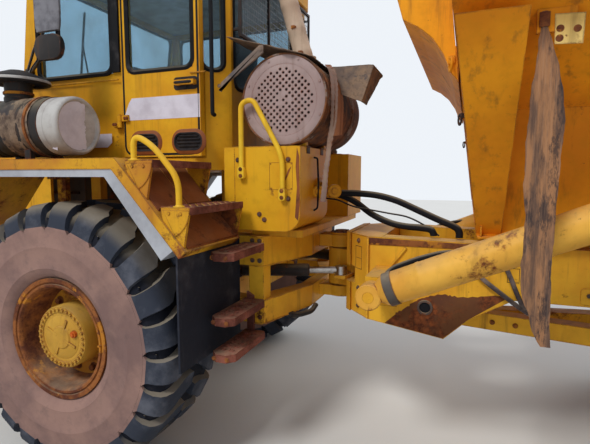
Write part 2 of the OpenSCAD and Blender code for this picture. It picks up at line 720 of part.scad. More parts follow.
// Door on the left: a panel as thick as the wall, with its window cut
door_gap = 6;
module door_outline() {
  translate([door_x0 + door_gap, cab_floor_z + 20 + door_gap])
    square([door_x1 - 30 - door_x0 - 2 * door_gap, window_z1 + 30 - cab_floor_z - 20 - 2 * door_gap]);
}
module door_left() {
  color(yellow) side_plate(-cab_y - 12, -cab_y + cab_wall - 12) difference() {
    door_outline();
    translate([door_x0 + 60, sill_z + 20]) square([door_x1 - door_x0 - 150, window_z1 - sill_z - 50]);
  }
  color(steel_dark) {
    block([door_x1 - 200, -cab_y - 50, sill_z - 90], [door_x1 - 60, -cab_y - 30, sill_z - 60]);
    block([door_x1 - 200, -cab_y - 31, sill_z - 90], [door_x1 - 180, -cab_y - 11, sill_z - 60]);
    block([door_x1 - 80, -cab_y - 31, sill_z - 90], [door_x1 - 60, -cab_y - 11, sill_z - 60]);
    for (z = hinge_zs) difference() {
      union() {
        door_knuckle(z + 40 + shaft_gap, z + 80);
        block([door_axis[0] + 1, -cab_y - 30, z + 40 + shaft_gap], [door_x0 + 60, -cab_y - 10, z + 80]);
      }
      translate([door_axis[0], door_axis[1], z + 30]) cylinder(r = 8 + shaft_gap, h = 60);
    }
  }
}
module door_glass() {
  color([0.6, 0.8, 0.9, 0.4]) side_plate(-cab_y + 8, -cab_y + 16)
    translate([door_x0 + 60 + seat_gap, sill_z + 20 + seat_gap])
      square([door_x1 - door_x0 - 150 - 2 * seat_gap, window_z1 - sill_z - 50 - 2 * seat_gap]);
}

// Engine hood: an open-bottomed shell that tilts forward, with its grille
hood_x0 = front_x + 130;
hood_x1 = cab_x0 - 20;
hood_z0 = bumper_z[1] + 120;
hood_z1 = 2280;
hood_nose_z = 2120;
hood_t = 25;
hood_hinge = [hood_x0 + 40, hood_z0 - 40];
module hood_side(inset) {
  polygon([[hood_x0 + inset, hood_z0 - (inset > 0 ? 10 : 0)],
      [hood_x1 + (inset > 0 ? 10 : 0), hood_z0 - (inset > 0 ? 10 : 0)],
           [hood_x1 + (inset > 0 ? 10 : 0), hood_z1 - inset],
               [hood_x0 + 90 + inset, hood_nose_z - inset], [hood_x0 + inset, hood_nose_z - 90 - inset]]);
}
module hood() {
  color(yellow) difference() {
    side_plate(-hood_w / 2, hood_w / 2) hood_side(0);
    side_plate(-hood_w / 2 + hood_t, hood_w / 2 - hood_t) hood_side(hood_t);
    block([hood_x0 - 5, -hood_w / 2 + 110, hood_z0 + 90],
        [hood_x0 + hood_t + 5, hood_w / 2 - 110, hood_nose_z - 160]);
  }
  // hinge lugs
  color(yellow) both_sides() difference() {
    union() {
      translate([hood_hinge[0], 0, hood_hinge[1]]) bar_y(35, -520, -480);
      block([hood_hinge[0] - 40, -520, hood_hinge[1]], [hood_hinge[0] + 35, -480, hood_z0 + 60]);
    }
    translate([hood_hinge[0], 0, hood_hinge[1]]) bar_y(15 + shaft_gap, -521, -479);
  }
}
module hood_grille() {
  g0 = hood_z0 + 90;
  g1 = hood_nose_z - 160;
  n = 9;
  color(steel_dark) {
    for (i = [0 : n - 1]) block([hood_x0 + 4, -hood_w / 2 + 110 + seat_gap,
        g0 + seat_gap + (g1 - g0 - 40) * i / (n - 1)],
                                [hood_x0 + 20, hood_w / 2 - 110 - seat_gap,
                                    g0 + seat_gap + (g1 - g0 - 40) * i / (n - 1) + 36]);
    for (y = [-hood_w / 2 + 110 + seat_gap, -15, hood_w / 2 - 140 - seat_gap])
      block([hood_x0 + 8, y, g0 + seat_gap], [hood_x0 + 22, y + 30, g1 - seat_gap]);
  }
}

// Yoke between the two halves: steers about the pin, rolls in the rear frame
roll_z = 1100;
yoke_x1 = pivot_x + 150;
yoke_tube_r = 140;
yoke_tube_x1 = yoke_x1 + 250;
frame_x0 = yoke_x1 + seat_gap;
yoke_hw = 300;
steer_lug = [60, 230];        // place of a steering rod's pin from the pivot
steer_z = roll_z;
steer_eye_r = 42;
steer_eye_h = 60;
base_eye_h = 100;             // width of a steering barrel's eye
steer_pocket = [150, 56];     // room for the rods' eyes: from this far out, and this much above and below

// Room beside the yoke for the steering rods' eyes
module steer_room(x0, x1) {
  both_sides() block([x0, -rear_rail_y[1] - 10, steer_z - steer_pocket[1]],
                     [x1, -steer_pocket[0], steer_z + steer_pocket[1]]);
}

module hitch_yoke() {
  color(yellow) difference() {
    union() {
      translate([pivot_x, 0, ear_low[1] + move_gap])
          cylinder(r = 95, h = ear_top[0] - ear_low[1] - 2 * move_gap);
      translate([0, 0, ear_low[1] + move_gap])
          linear_extrude(height = ear_top[0] - ear_low[1] - 2 * move_gap)
        polygon([[pivot_x, -90], [yoke_x1 - 10, -140], [yoke_x1 - 10, 140], [pivot_x, 90]]);
      difference() {
        translate([0, 0, 840]) linear_extrude(height = 1385 - 840)
          polygon([[pivot_x + ear_r + move_gap, -yoke_hw + 30], [yoke_x1, -yoke_hw - 20],
              [yoke_x1, yoke_hw + 20],
                   [pivot_x + ear_r + move_gap, yoke_hw - 30]]);
        steer_room(pivot_x, yoke_x1 + 1);
      }
      // lugs under the steering rods' eyes
      both_sides() translate([0, 0, steer_z - steer_eye_h / 2 - 25])
        linear_extrude(height = 25 - shaft_gap)
          polygon([[pivot_x + 20, -steer_lug[1] - 50], [pivot_x + 100, -steer_lug[1] - 50],
                   [pivot_x + 130, -180], [pivot_x + 130, -60], [pivot_x, -60], [pivot_x + 20, -180]]);
      translate([0, 0, roll_z]) bar_x(yoke_tube_r, yoke_x1 - 1, yoke_tube_x1);
    }
    translate([pivot_x, 0, ear_low[1]]) cylinder(r = pin_r + shaft_gap, h = ear_top[0] - ear_low[1]);
    translate([0, 0, roll_z]) bar_x(yoke_tube_r - 30, yoke_x1 - 20, yoke_tube_x1 + 1);
  }
}

// Steering cylinders: barrels on the front frame, rods to the yoke's lugs. Drawn on the left, y outward
steer_base = [-640, 480];     // base pin from the pivot
steer_len = norm([steer_lug[0] - steer_base[0], steer_base[1] - steer_lug[1]]);
steer_turn = atan2(steer_base[1] - steer_lug[1], steer_lug[0] - steer_base[0]);
steer_barrel_len = 520;
steer_barrel_r = 45;
steer_rod_r = 24;
module at_steer_base() {
  translate([pivot_x + steer_base[0], -steer_base[1], steer_z]) rotate([0, 0, steer_turn]) children();
}
module steer_barrel() {
  color(steel_dark) at_steer_base() difference() {
    union() {
      translate([0, 0, -base_eye_h / 2]) cylinder(r = 40, h = base_eye_h);
      bar_x(steer_barrel_r, 30, steer_barrel_len);
    }
    bar_x(steer_rod_r + shaft_gap, 90, steer_barrel_len + 1);
    translate([0, 0, -base_eye_h]) cylinder(r = 20 + shaft_gap, h = 2 * base_eye_h);
  }
}
module steer_rod() {
  color(grey) at_steer_base() {
    bar_x(steer_rod_r, 290, steer_len - 20);
    translate([steer_len, 0, -steer_eye_h / 2]) cylinder(r = steer_eye_r, h = steer_eye_h);
  }
}

// Height of the rear rails' top at x
function rail_top_z(x) = x < frame_x0 + 1200 ? frame_top_z - 10 - 20 * (x - frame_x0 - 139) / 1061
                       : 1360 - 20 * (x - frame_x0 - 1200) / (frame_end_x - frame_x0 - 1200);

// Rear frame: two deep rails, the roll bearing in front, cross tubes and the hinge ears behind
rear_rail_y = [300, 450];
frame_top_z = 1390;
frame_end_x = axle_rear_x + 560;
hinge_x = axle_rear_x + 350;
hinge_z = 1250;
hinge_pin_r = 40;
bearing_x1 = frame_x0 + 235;
hoist_base_x = frame_x0 + 250;
module rear_rail_profile() {
  polygon([[frame_x0 + 139, frame_top_z - 10], [frame_x0 + 139, 840], [frame_x0 + 620, 765],
      [frame_x0 + 760, 900],
           [frame_x0 + 1000, 1045], [frame_end_x, 1045], [frame_end_x, 1340], [frame_x0 + 1200, 1360]]);
}
module rear_frame() {
  color(yellow) difference() {
    union() {
      both_sides() side_plate(-rear_rail_y[1], -rear_rail_y[0]) rear_rail_profile();
      // front block round the yoke's tube
      translate([0, 0, 845]) linear_extrude(height = frame_top_z - 10 - 845)
        polygon([[frame_x0, -300], [frame_x0 + 140, -rear_rail_y[1]], [bearing_x1, -rear_rail_y[1]],
            [bearing_x1, rear_rail_y[1]],
                 [frame_x0 + 140, rear_rail_y[1]], [frame_x0, 300]]);
      // cross members
      for (x = [frame_x0 + 900, axle_mid_x - 500, bogie_x - 90, axle_rear_x - 100])
        block([x, -rear_rail_y[0] - 5, 1080], [x + 150, rear_rail_y[0] + 5, 1300]);
      // cross tube of the bogie
      translate([bogie_x, 0, bogie_pivot_z]) bar_y(90, -bogie_y - bogie_t / 2, bogie_y + bogie_t / 2);
      block([bogie_x - 110, -rear_rail_y[1], bogie_pivot_z], [bogie_x + 110, rear_rail_y[1], 1060]);
      // brackets and pins of the hoists' lower eyes
      both_sides() block([hoist_base_x - 50, -hoist_y + hoist_r + move_gap, hoist_base_z - 80],
                         [hoist_base_x + 130, -rear_rail_y[1] + 5, hoist_base_z + 80]);
      both_sides() translate([hoist_base_x, 0, hoist_base_z])
          bar_y(32, -hoist_y - hoist_eye_w / 2, -rear_rail_y[1]);
      // bracket of the axle stays' front joint
      block([frame_x0 + 420, -rear_rail_y[0] - 5, 780], [frame_x0 + 620, rear_rail_y[0] + 5, 960]);
    }
    steer_room(frame_x0 - 1, frame_x0 + 35);
    // seat of the yoke's tube
    translate([0, 0, roll_z]) bar_x(yoke_tube_r + seat_gap, frame_x0 - 1, bearing_x1 + 1);
    // hinge bores of the load body
    translate([hinge_x, 0, hinge_z]) bar_y(hinge_pin_r + shaft_gap, -rear_rail_y[1] - 1,
        rear_rail_y[1] + 1);
  }
}

// Bogie beams, hung at their middles from the cross tube
bogie_y = 640;
bogie_t = 100;
bogie_pivot_z = 960;
module bogie_beams() {
  color(steel_dark) both_sides() difference() {
    side_plate(-bogie_y - bogie_t / 2, -bogie_y + bogie_t / 2) polygon([
      [axle_mid_x - 90, axle_z + 110], [axle_mid_x + 90, axle_z + 110],
          [bogie_x - 200, bogie_pivot_z + 100], [bogie_x + 200, bogie_pivot_z + 100],
      [axle_rear_x - 90, axle_z + 110], [axle_rear_x + 90, axle_z + 110],
          [axle_rear_x + 90, axle_z + axle_tube_r + seat_gap],
      [axle_rear_x - 120, axle_z + axle_tube_r + seat_gap], [bogie_x + 160, bogie_pivot_z - 130],
          [bogie_x - 160, bogie_pivot_z - 130],
      [axle_mid_x + 120, axle_z + axle_tube_r + seat_gap],
          [axle_mid_x - 90, axle_z + axle_tube_r + seat_gap]]);
    translate([bogie_x, 0, bogie_pivot_z]) bar_y(90 + seat_gap, -bogie_y - bogie_t, -bogie_y + bogie_t);
  }
}

// Axle stays: a forked arm from the frame's front bracket to the first rear axle, and one between the axles
module axle_stays() {
  color(yellow) {
    both_sides() translate([0, 0, axle_z - 60]) linear_extrude(height = 110)
      polygon([[frame_x0 + 620 + seat_gap, -60], [axle_mid_x - axle_tube_r - seat_gap, -420],
               [axle_mid_x - axle_tube_r - seat_gap, -300], [frame_x0 + 900, 0],
                   [frame_x0 + 620 + seat_gap, 0]]);
  }
}

// Load body: an open hopper of plates, narrow below and wide above, with a raised tail
body_x0 = frame_x0 + 780;
body_y = body_w / 2;
tub_y0 = 550;
tub_y1 = 700;
tub_z1 = 2100;
flare_z = 2550;
tail_rise_x = axle_rear_x - 150;
tail_z = 2080;
module body_section(inset) {
  polygon([[-tub_y0 + inset, body_floor_z + inset], [-tub_y1 + inset, tub_z1],
      [-body_y + inset, flare_z], [-body_y + inset, body_rail_z + (inset > 0 ? 500 : 0)],
           [body_y - inset, body_rail_z + (inset > 0 ? 500 : 0)], [body_y - inset, flare_z],
               [tub_y1 - inset, tub_z1], [tub_y0 - inset, body_floor_z + inset]]);
}
lean = 150;                // the front wall leans forward by this much
module body_length(inset) {
  polygon([[body_x0 + inset, body_floor_z + inset], [tail_rise_x, body_floor_z + inset],
      [tail_x + (inset > 0 ? 50 : 0), tail_z + inset],
           [tail_x + (inset > 0 ? 50 : 0), body_rail_z + (inset > 0 ? 500 : 0)],
               [body_x0 - lean + inset, body_rail_z + (inset > 0 ? 500 : 0)],
           [body_x0 - lean + inset, flare_z]]);
}
module body_solid(inset) {
  intersection() {
    translate([body_x0 - 400, 0, 0]) rotate([90, 0, 90]) linear_extrude(height = tail_x - body_x0 + 800)
        body_section(inset);
    side_plate(-body_y - 10, body_y + 10) body_length(inset);
  }
}
function floor_z(x) = body_floor_z + max(0, x - tail_rise_x) * (tail_z - body_floor_z)
    / (tail_x - tail_rise_x);

// Outer face of the sloping side wall at height z, and of the leaning front wall
function tub_wall_y(z) = tub_y1 + (body_y - tub_y1) * (z - tub_z1) / (flare_z - tub_z1);
function front_wall_x(z) = body_x0 - lean * (z - body_floor_z) / (flare_z - body_floor_z);
pillar_z = 2400;           // top of the front corner pillars
pillar_y = 1340;           // their reach at the top
pillar_low = 130;          // their depth at the floor
pillar_top = 145;          // and at the top, behind the front wall's foot
module load_body() {
  color(yellow_dark) difference() {
    union() {
      difference() {
        body_solid(0);
        body_solid(body_plate);
      }
      // top rails
      both_sides() block([body_x0 - lean, -body_y, body_rail_z - 110], [tail_x, -body_y + 90, body_rail_z]);
      // bosses that carry the hoists' upper pins
      both_sides() translate([hoist_pin_x, 0, hoist_pin_z]) {
        bar_y(80, -hoist_y + hoist_eye_w / 2 + move_gap, -tub_y1 + 40);
        bar_y(30, -hoist_y - hoist_eye_w / 2, -tub_y1 + 40);
      }
      // hinge plates between the frame's rails
      both_sides() side_plate(-rear_rail_y[0] + 20, -rear_rail_y[0] + 70)
        polygon([[hinge_x - 100, hinge_z - 60], [hinge_x + 100, hinge_z - 60],
            [hinge_x + 160, floor_z(hinge_x + 160) + 10],
                 [hinge_x - 160, floor_z(hinge_x - 160) + 10]]);
      // front corner pillars, wider towards the top
      both_sides() intersection() {
        side_plate(-body_y, -tub_y0 + 20)
          polygon([[body_x0 + 3, body_floor_z + 3], [body_x0 + pillar_low, body_floor_z + 3],
                   [body_x0 + pillar_top, pillar_z], [front_wall_x(pillar_z) + 3, pillar_z]]);
        translate([body_x0 - 400, 0, 0]) rotate([90, 0, 90]) linear_extrude(height = 900)
          polygon([[-tub_y0 + 4, body_floor_z + 3], [-pillar_y, pillar_z],
                   [-tub_wall_y(pillar_z) + 6, pillar_z], [-tub_y1 + 6, tub_z1],
                   [-tub_y0 + 6, body_floor_z + 3]]);
      }
      // rests on the frame's rails
      for (x = [body_x0 + 300, axle_mid_x - 300]) both_sides()
        block([x, -rear_rail_y[1] + 30, rail_top_z(x) + seat_gap],
            [x + 160, -rear_rail_y[0] - 30, body_floor_z + 5]);
      // plates that hold the straps
      both_sides() block([body_x0 + 180, -strap_y, strap_z1 - 85],
          [body_x0 + 320, -strap_y + 15, strap_z1 + 10]);
    }
  }
  color(steel_dark) translate([hinge_x, 0, hinge_z])
      bar_y(hinge_pin_r, -rear_rail_y[1] + 10, rear_rail_y[1] - 10);
}

// Canopy: the front wall's upper part bulges forward and up, closed at its ends by cheek plates
canopy_y = 960;            // outer face of a cheek
canopy_t = 25;
canopy_top = 3000;
canopy_curve = [[-315, 2250], [-352, 2340], [-405, 2420], [-475, 2482], [-548, 2522], [-612, 2740],
    [-655, canopy_top]];
module body_canopy() {
  foot = front_wall_x(2262) - seat_gap;
  last = len(canopy_curve) - 1;
  outer = [for (i = [0 : last]) canopy_curve[i] + [body_x0 + 169.7, 0]];
  inner = [for (i = [last : -1 : 0]) outer[i] + [canopy_t, i == last ? 0 : i > 3 ? 12 : canopy_t * 1.4]];
  color(yellow_dark) {
    side_plate(-canopy_y + 5, canopy_y - 5) polygon(concat([[foot, 2210]], outer, inner, [[foot, 2262]]));
    both_sides() side_plate(-canopy_y, -canopy_y + canopy_t)
      polygon(concat([[foot, 2210]], outer, [[body_x0 - lean - seat_gap, 2850],
          [body_x0 - lean - seat_gap, flare_z]]));
  }
}

// Long rubber straps hung at the body's front corners
strap_z1 = 2415;
strap_y = tub_wall_y(strap_z1 + 10) - 6;
module body_straps() {
  color(rubber) both_sides() block([body_x0 + 160, -strap_y - 12 - seat_gap, 1050],
                                   [body_x0 + 340, -strap_y - seat_gap, strap_z1]);
}

// Hoist cylinders, two stages, drawn along their own axis from the lower pin
hoist_pin_x = hoist_base_x + 2000;
hoist_len = norm([hoist_pin_x - hoist_base_x, hoist_pin_z - hoist_base_z]);
hoist_rise = atan2(hoist_pin_z - hoist_base_z, hoist_pin_x - hoist_base_x);
hoist_barrel_len = 1960;
hoist_stage_r = 60;
hoist_rod_r = 42;
hoist_eye_w = 120;
module at_hoist_base() {
  both_sides() translate([hoist_base_x, -hoist_y, hoist_base_z]) rotate([0, -hoist_rise, 0]) children();
}
module hoist_barrels() {
  color(yellow) at_hoist_base() difference() {
    union() {
      bar_y(72, -hoist_eye_w / 2, hoist_eye_w / 2);
      bar_x(hoist_r, 60, hoist_barrel_len);
    }
    bar_y(32 + shaft_gap, -hoist_r, hoist_r);
    bar_x(hoist_stage_r + shaft_gap, 150, hoist_barrel_len + 1);
  }
}
module hoist_stages() {
  color(grey) at_hoist_base() difference() {
    bar_x(hoist_stage_r, 190, hoist_barrel_len + 60);
    bar_x(hoist_rod_r + shaft_gap, 220, hoist_barrel_len + 61);
  }
}
module hoist_rods() {
  color(grey) at_hoist_base() {
    difference() {
      union() {
        bar_x(hoist_rod_r, 260, hoist_len - 40);
        translate([hoist_len, 0, 0]) bar_y(70, -hoist_eye_w / 2, hoist_eye_w / 2);
      }
      translate([hoist_len, 0, 0]) bar_y(30 + shaft_gap, -hoist_eye_w, hoist_eye_w);
    }
  }
}

// Hydraulic hoses from the front unit over the hitch to the rear frame: [x, y, z] points
hose_r = 22;
hose_routes = [
  [[box_x1 + seat_gap, -330, 1650], [box_x1 + 80, -330, 1650], [pivot_x + 330, -330, 1640],
      [pivot_x + 560, -340, 1560], [pivot_x + 830, -350, 1440],
   [pivot_x + 830, -350, rail_top_z(pivot_x + 800) + seat_gap]],
  [[box_x1 + seat_gap, -270, 1640], [box_x1 + 80, -270, 1640], [pivot_x + 280, -260, 1500],
      [pivot_x + 500, -300, 1440], [pivot_x + 680, -330, 1430],
   [pivot_x + 680, -330, rail_top_z(pivot_x + 650) + seat_gap]]
];
module hitch_hoses() {
  color(rubber) for (p = hose_routes) bent_tube(p, hose_r);
}

rear_frame();
bogie_beams();
axle_casing(axle_mid_x);  // mid_axle
axle_casing(axle_rear_x);  // rear_axle
axle_stays();
hitch_yoke();
front_frame();
front_axle();
engine();
bumper();
fender(true);  // fender_left
mirror([0, 1, 0]) fender(true);  // fender_right
fender_lips();
front_flaps();
cab_body();
cab_roof();
cab_glass();
driver_seat();
dash_console();
air_cleaner();
side_boxes();
cooler_drum();
cooler_grille();
drum_cover();
exhaust_stack();
window_guard();
ladder_steps();
grab_rails();
mirrors();
door_left();
door_glass();
hood();
hood_grille();
place_wheel(axle_front_x, -1) rim();  // rim_front_left
place_wheel(axle_front_x, -1) tyre();  // tyre_front_left
place_wheel(axle_front_x, 1) rim();  // rim_front_right
place_wheel(axle_front_x, 1) tyre();  // tyre_front_right
place_wheel(axle_mid_x, -1) rim();  // rim_mid_left
place_wheel(axle_mid_x, -1) tyre();  // tyre_mid_left
place_wheel(axle_mid_x, 1) rim();  // rim_mid_right
place_wheel(axle_mid_x, 1) tyre();  // tyre_mid_right
place_wheel(axle_rear_x, -1) rim();  // rim_rear_left
place_wheel(axle_rear_x, -1) tyre();  // tyre_rear_left
place_wheel(axle_rear_x, 1) rim();  // rim_rear_right
place_wheel(axle_rear_x, 1) tyre();  // tyre_rear_right
load_body();
body_canopy();
body_straps();
hoist_barrels();
hoist_stages();
hoist_rods();
steer_barrel();  // steer_barrel_left
steer_rod();  // steer_rod_left
mirror([0, 1, 0]) steer_barrel();  // steer_barrel_right
mirror([0, 1, 0]) steer_rod();  // steer_rod_right
hitch_hoses();
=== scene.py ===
# Articulated dump truck: finishes and detailed pieces around the CAD frame.
# Metres throughout; -X is the front, -Y the left side with the cab door, +Z up.
import random
from math import atan, atan2, copysign, cos, exp, hypot, pi, radians, sin, sqrt, tan, tau

import bmesh
import bpy
from mathutils import Matrix, Vector


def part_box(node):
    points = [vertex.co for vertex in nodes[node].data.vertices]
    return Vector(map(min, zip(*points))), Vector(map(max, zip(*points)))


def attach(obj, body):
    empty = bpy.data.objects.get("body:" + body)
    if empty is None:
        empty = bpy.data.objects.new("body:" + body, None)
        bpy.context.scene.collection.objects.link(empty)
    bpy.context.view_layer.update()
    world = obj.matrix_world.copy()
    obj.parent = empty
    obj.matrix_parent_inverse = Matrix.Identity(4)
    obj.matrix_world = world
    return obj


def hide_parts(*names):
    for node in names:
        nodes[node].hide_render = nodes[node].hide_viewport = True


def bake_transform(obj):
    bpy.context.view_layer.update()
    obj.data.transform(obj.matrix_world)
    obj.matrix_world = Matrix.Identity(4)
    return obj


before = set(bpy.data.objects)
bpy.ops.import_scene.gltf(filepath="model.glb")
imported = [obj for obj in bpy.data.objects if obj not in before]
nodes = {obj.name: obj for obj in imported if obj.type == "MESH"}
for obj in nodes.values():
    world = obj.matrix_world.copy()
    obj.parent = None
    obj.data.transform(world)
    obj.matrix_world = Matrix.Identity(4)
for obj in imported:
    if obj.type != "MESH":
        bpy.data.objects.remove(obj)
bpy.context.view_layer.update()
random.seed(7)
print("frame loaded:", len(nodes), "nodes")


def at(x, y, z):
    return Vector((x, y, z))


def show(name, data):
    # A new object in the scene
    piece = bpy.data.objects.new(name, data)
    bpy.context.scene.collection.objects.link(piece)
    return piece


# Places that many pieces share, read from the frame
def low(node):
    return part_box(node)[0]


def high(node):
    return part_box(node)[1]


def middle(node):
    return (low(node) + high(node)) / 2


wheelNames = [f"{axle}_{side}" for axle in ("front", "mid", "rear") for side in ("left", "right")]
wheelCentre = {name: middle("tyre_" + name) for name in wheelNames}
tyreRadius = (high("tyre_front_left").z - low("tyre_front_left").z) / 2
tyreWidth = high("tyre_front_left").y - low("tyre_front_left").y


# Materials: each is built from a few shared steps, and colours are red, green and blue out of 255
def linear(colour, light=1.0):
    channels = (c / 255 for c in colour)
    return tuple((c / 12.92 if c <= 0.04045 else ((c + 0.055) / 1.055) ** 2.4) * light for c in channels)


class Finish:
    # A material with its node tree, and short ways to add the nodes that most finishes share
    def __init__(self, name):
        self.material = bpy.data.materials.new(name)
        self.material.use_nodes = True
        self.tree = self.material.node_tree
        self.shader = self.tree.nodes["Principled BSDF"]
        self.shader.inputs["Specular IOR Level"].default_value = 0.12        # old, dusty surfaces shine little
        self.place = self.add("ShaderNodeTexCoord").outputs["Object"]

    def add(self, kind, **values):
        node = self.tree.nodes.new(kind)
        for key, value in values.items():
            setattr(node, key, value)
        return node

    def link(self, source, target):
        self.tree.links.new(source, target)

    def fill(self, node, values):
        for key, value in values.items():
            node.inputs[key].default_value = value
        return node

    def noise(self, scale, detail=4, rough=0.6, stretch=None):
        node = self.fill(self.add("ShaderNodeTexNoise"), {"Scale": scale, "Detail": detail, "Roughness": rough})
        place = self.place
        if stretch:
            mapping = self.fill(self.add("ShaderNodeMapping"), {"Scale": stretch})
            self.link(place, mapping.inputs["Vector"])
            place = mapping.outputs["Vector"]
        self.link(place, node.inputs["Vector"])
        return node.outputs["Fac"]

    def ramp(self, source, start, end):
        node = self.fill(self.add("ShaderNodeMapRange", clamp=True, interpolation_type="SMOOTHSTEP"),
                         {"From Min": start, "From Max": end})
        self.link(source, node.inputs["Value"])
        return node.outputs["Result"]

    def spots(self, start, end, *noise, share=None, stretch=None):
        # A mask from noise: 0 below start, 1 above end, all times a share
        mask = self.ramp(self.noise(*noise, stretch=stretch), start, end)
        return mask if share is None else self.times(mask, share)

    def math(self, operation, first, second):
        node = self.add("ShaderNodeMath", operation=operation, use_clamp=True)
        self.feed(node.inputs, (first, second))
        return node.outputs[0]

    def times(self, first, second):
        return self.math("MULTIPLY", first, second)

    def feed(self, sockets, values):
        for socket, value in zip(sockets, values):
            if isinstance(value, (int, float, tuple)):
                socket.default_value = value
            else:
                self.link(value, socket)

    def mix(self, factor, first, second, light=1.0):
        # light darkens the second colour
        node = self.add("ShaderNodeMix", data_type="RGBA")
        first, second = ((*linear(c, part), 1) if isinstance(c, tuple) else c
                         for c, part in ((first, 1.0), (second, light)))
        self.feed((node.inputs[0], node.inputs[6], node.inputs[7]), (factor, first, second))
        return node.outputs[2]

    def normal(self):
        return self.add("ShaderNodeNewGeometry").outputs["Normal"]

    def upFacing(self):
        split = self.add("ShaderNodeSeparateXYZ")
        self.link(self.normal(), split.inputs[0])
        return self.ramp(split.outputs["Z"], 0.3, 0.95)

    def powder(self, body, scale, share):
        # Pale dust on faces that look up
        mask = self.times(self.times(self.upFacing(), self.spots(0.3, 0.7, scale, 6)), share)
        self.colour(self.mix(mask, body, dustPale))
        return mask

    def edges(self, radius):
        # 1 on edges, 0 on flat faces
        bevel = self.fill(self.add("ShaderNodeBevel", samples=4), {"Radius": radius})
        compare = self.add("ShaderNodeVectorMath", operation="DOT_PRODUCT")
        self.link(bevel.outputs["Normal"], compare.inputs[0])
        self.link(self.normal(), compare.inputs[1])
        return self.ramp(self.math("SUBTRACT", 1.0, compare.outputs["Value"]), 0.02, 0.25)

    def bump(self, source, strength, distance=0.01):
        node = self.fill(self.add("ShaderNodeBump"), {"Strength": strength, "Distance": distance})
        self.link(source, node.inputs["Height"])
        self.link(node.outputs["Normal"], self.shader.inputs["Normal"])

    def colour(self, source):
        self.link(source, self.shader.inputs["Base Color"])

    def rough(self, mask, smooth, dull):
        node = self.fill(self.add("ShaderNodeMapRange"), {"To Min": smooth, "To Max": dull})
        self.link(mask, node.inputs["Value"])
        self.link(node.outputs["Result"], self.shader.inputs["Roughness"])


rustDark = (74, 42, 30)
rustBright = (142, 78, 42)
dustPale = (176, 160, 132)


def paintedFinish(name, paint, faded, rustShare=0.3, edgeRust=0.7, dust=0.35, streaks=0.35, gloss=0.46):
    # Old paint: uneven colour, runs of dirt, rust that starts at edges and in patches, dust on top
    f = Finish(name)
    body = f.mix(f.spots(0.35, 0.65, 1.7, 5), paint, faded)
    body = f.mix(f.spots(0.45, 0.75, 14, 6, share=0.35), body, paint, 0.62)
    body = f.mix(f.spots(0.52, 0.74, 5, 6, 0.65, share=streaks, stretch=(3.2, 3.2, 0.22)), body, (96, 62, 36))
    patches = f.spots(0.72 - 0.28 * rustShare, 0.78 - 0.24 * rustShare, 3.1, 12, 0.72)
    specks = f.spots(0.7 - 0.1 * rustShare, 0.76 - 0.1 * rustShare, 38, 8, 0.7, share=0.85)
    worn = f.times(f.edges(0.012), f.spots(0.62 - 0.4 * edgeRust, 0.72 - 0.2 * edgeRust, 9, 8, 0.7))
    rust = f.math("MAXIMUM", f.math("MAXIMUM", patches, specks), worn)
    body = f.mix(rust, body, f.mix(f.spots(0.35, 0.65, 22, 8, 0.7), rustDark, rustBright))
    powder = f.powder(body, 4, dust)
    f.rough(f.math("MAXIMUM", rust, powder), gloss, 0.88)
    f.bump(f.math("ADD", rust, f.times(f.noise(60, 4), 0.25)), 0.35, 0.0015)
    return f.material


def rustFinish(name, dark, bright, paintLeft=None, share=0.0):
    f = Finish(name)
    body = f.mix(f.spots(0.38, 0.62, 7, 10, 0.7), dark, bright)
    body = f.mix(f.spots(0.5, 0.7, 45, 6, share=0.5), body, dark, 0.45)
    if paintLeft:
        body = f.mix(f.spots(0.62 - share, 0.66 - share, 4.2, 10, 0.7), body, paintLeft)
    f.powder(body, 5, 0.4)
    f.rough(f.noise(30, 4), 0.7, 0.95)
    f.bump(f.noise(85, 8, 0.7), 0.5, 0.002)
    return f.material


def wovenFinish(name):
    # Worn belting: fine threads along it, brown dust and dark bare patches drawn out lengthwise
    f = Finish(name)
    threads = f.noise(30, 6, 0.7, stretch=(4.5, 4.5, 0.1))
    body = f.mix(f.spots(0.4, 0.62, 6, 8, 0.7, stretch=(3.2, 3.2, 0.42)), (96, 74, 62), (162, 116, 80))
    body = f.mix(f.spots(0.5, 0.6, 5, 8, 0.75, share=0.85, stretch=(2.6, 2.6, 0.8)), body, (58, 50, 50))
    f.colour(f.mix(f.times(f.ramp(threads, 0.5, 0.66), 0.28), body, (168, 134, 108)))
    f.rough(threads, 0.8, 0.95)
    f.bump(threads, 0.5, 0.002)
    return f.material


def rubberFinish(name, dark, dusty, dustShare=0.45, scale=6, bumpScale=70, rough=0.7):
    f = Finish(name)
    body = f.mix(f.spots(0.6 - 0.3 * dustShare, 0.8 - 0.2 * dustShare, scale, 8, 0.65), dark, dusty)
    body = f.mix(f.spots(0.58, 0.75, 9, 8, 0.7, share=0.35, stretch=(2.5, 2.5, 0.4)), body, dusty)
    f.colour(f.mix(f.times(f.upFacing(), 0.45), body, dustPale))
    f.rough(f.noise(25, 4), rough - 0.12, rough + 0.2)
    f.bump(f.noise(bumpScale, 6), 0.25, 0.002)
    return f.material


def sidewallFinish():
    # Red-brown dust on the side wall
    f = Finish("sidewallRubber")
    body = f.mix(f.spots(0.35, 0.65, 2.4, 8, 0.65), (150, 118, 106), (122, 96, 90))
    body = f.mix(f.spots(0.5, 0.75, 11, 8, 0.7, share=0.5), body, (98, 82, 80))
    f.colour(f.mix(f.spots(0.55, 0.75, 3.3, 6, 0.6, share=0.35), body, (66, 58, 60)))
    f.rough(f.noise(20, 4), 0.78, 0.95)
    f.bump(f.noise(55, 7, 0.7), 0.3, 0.002)
    return f.material


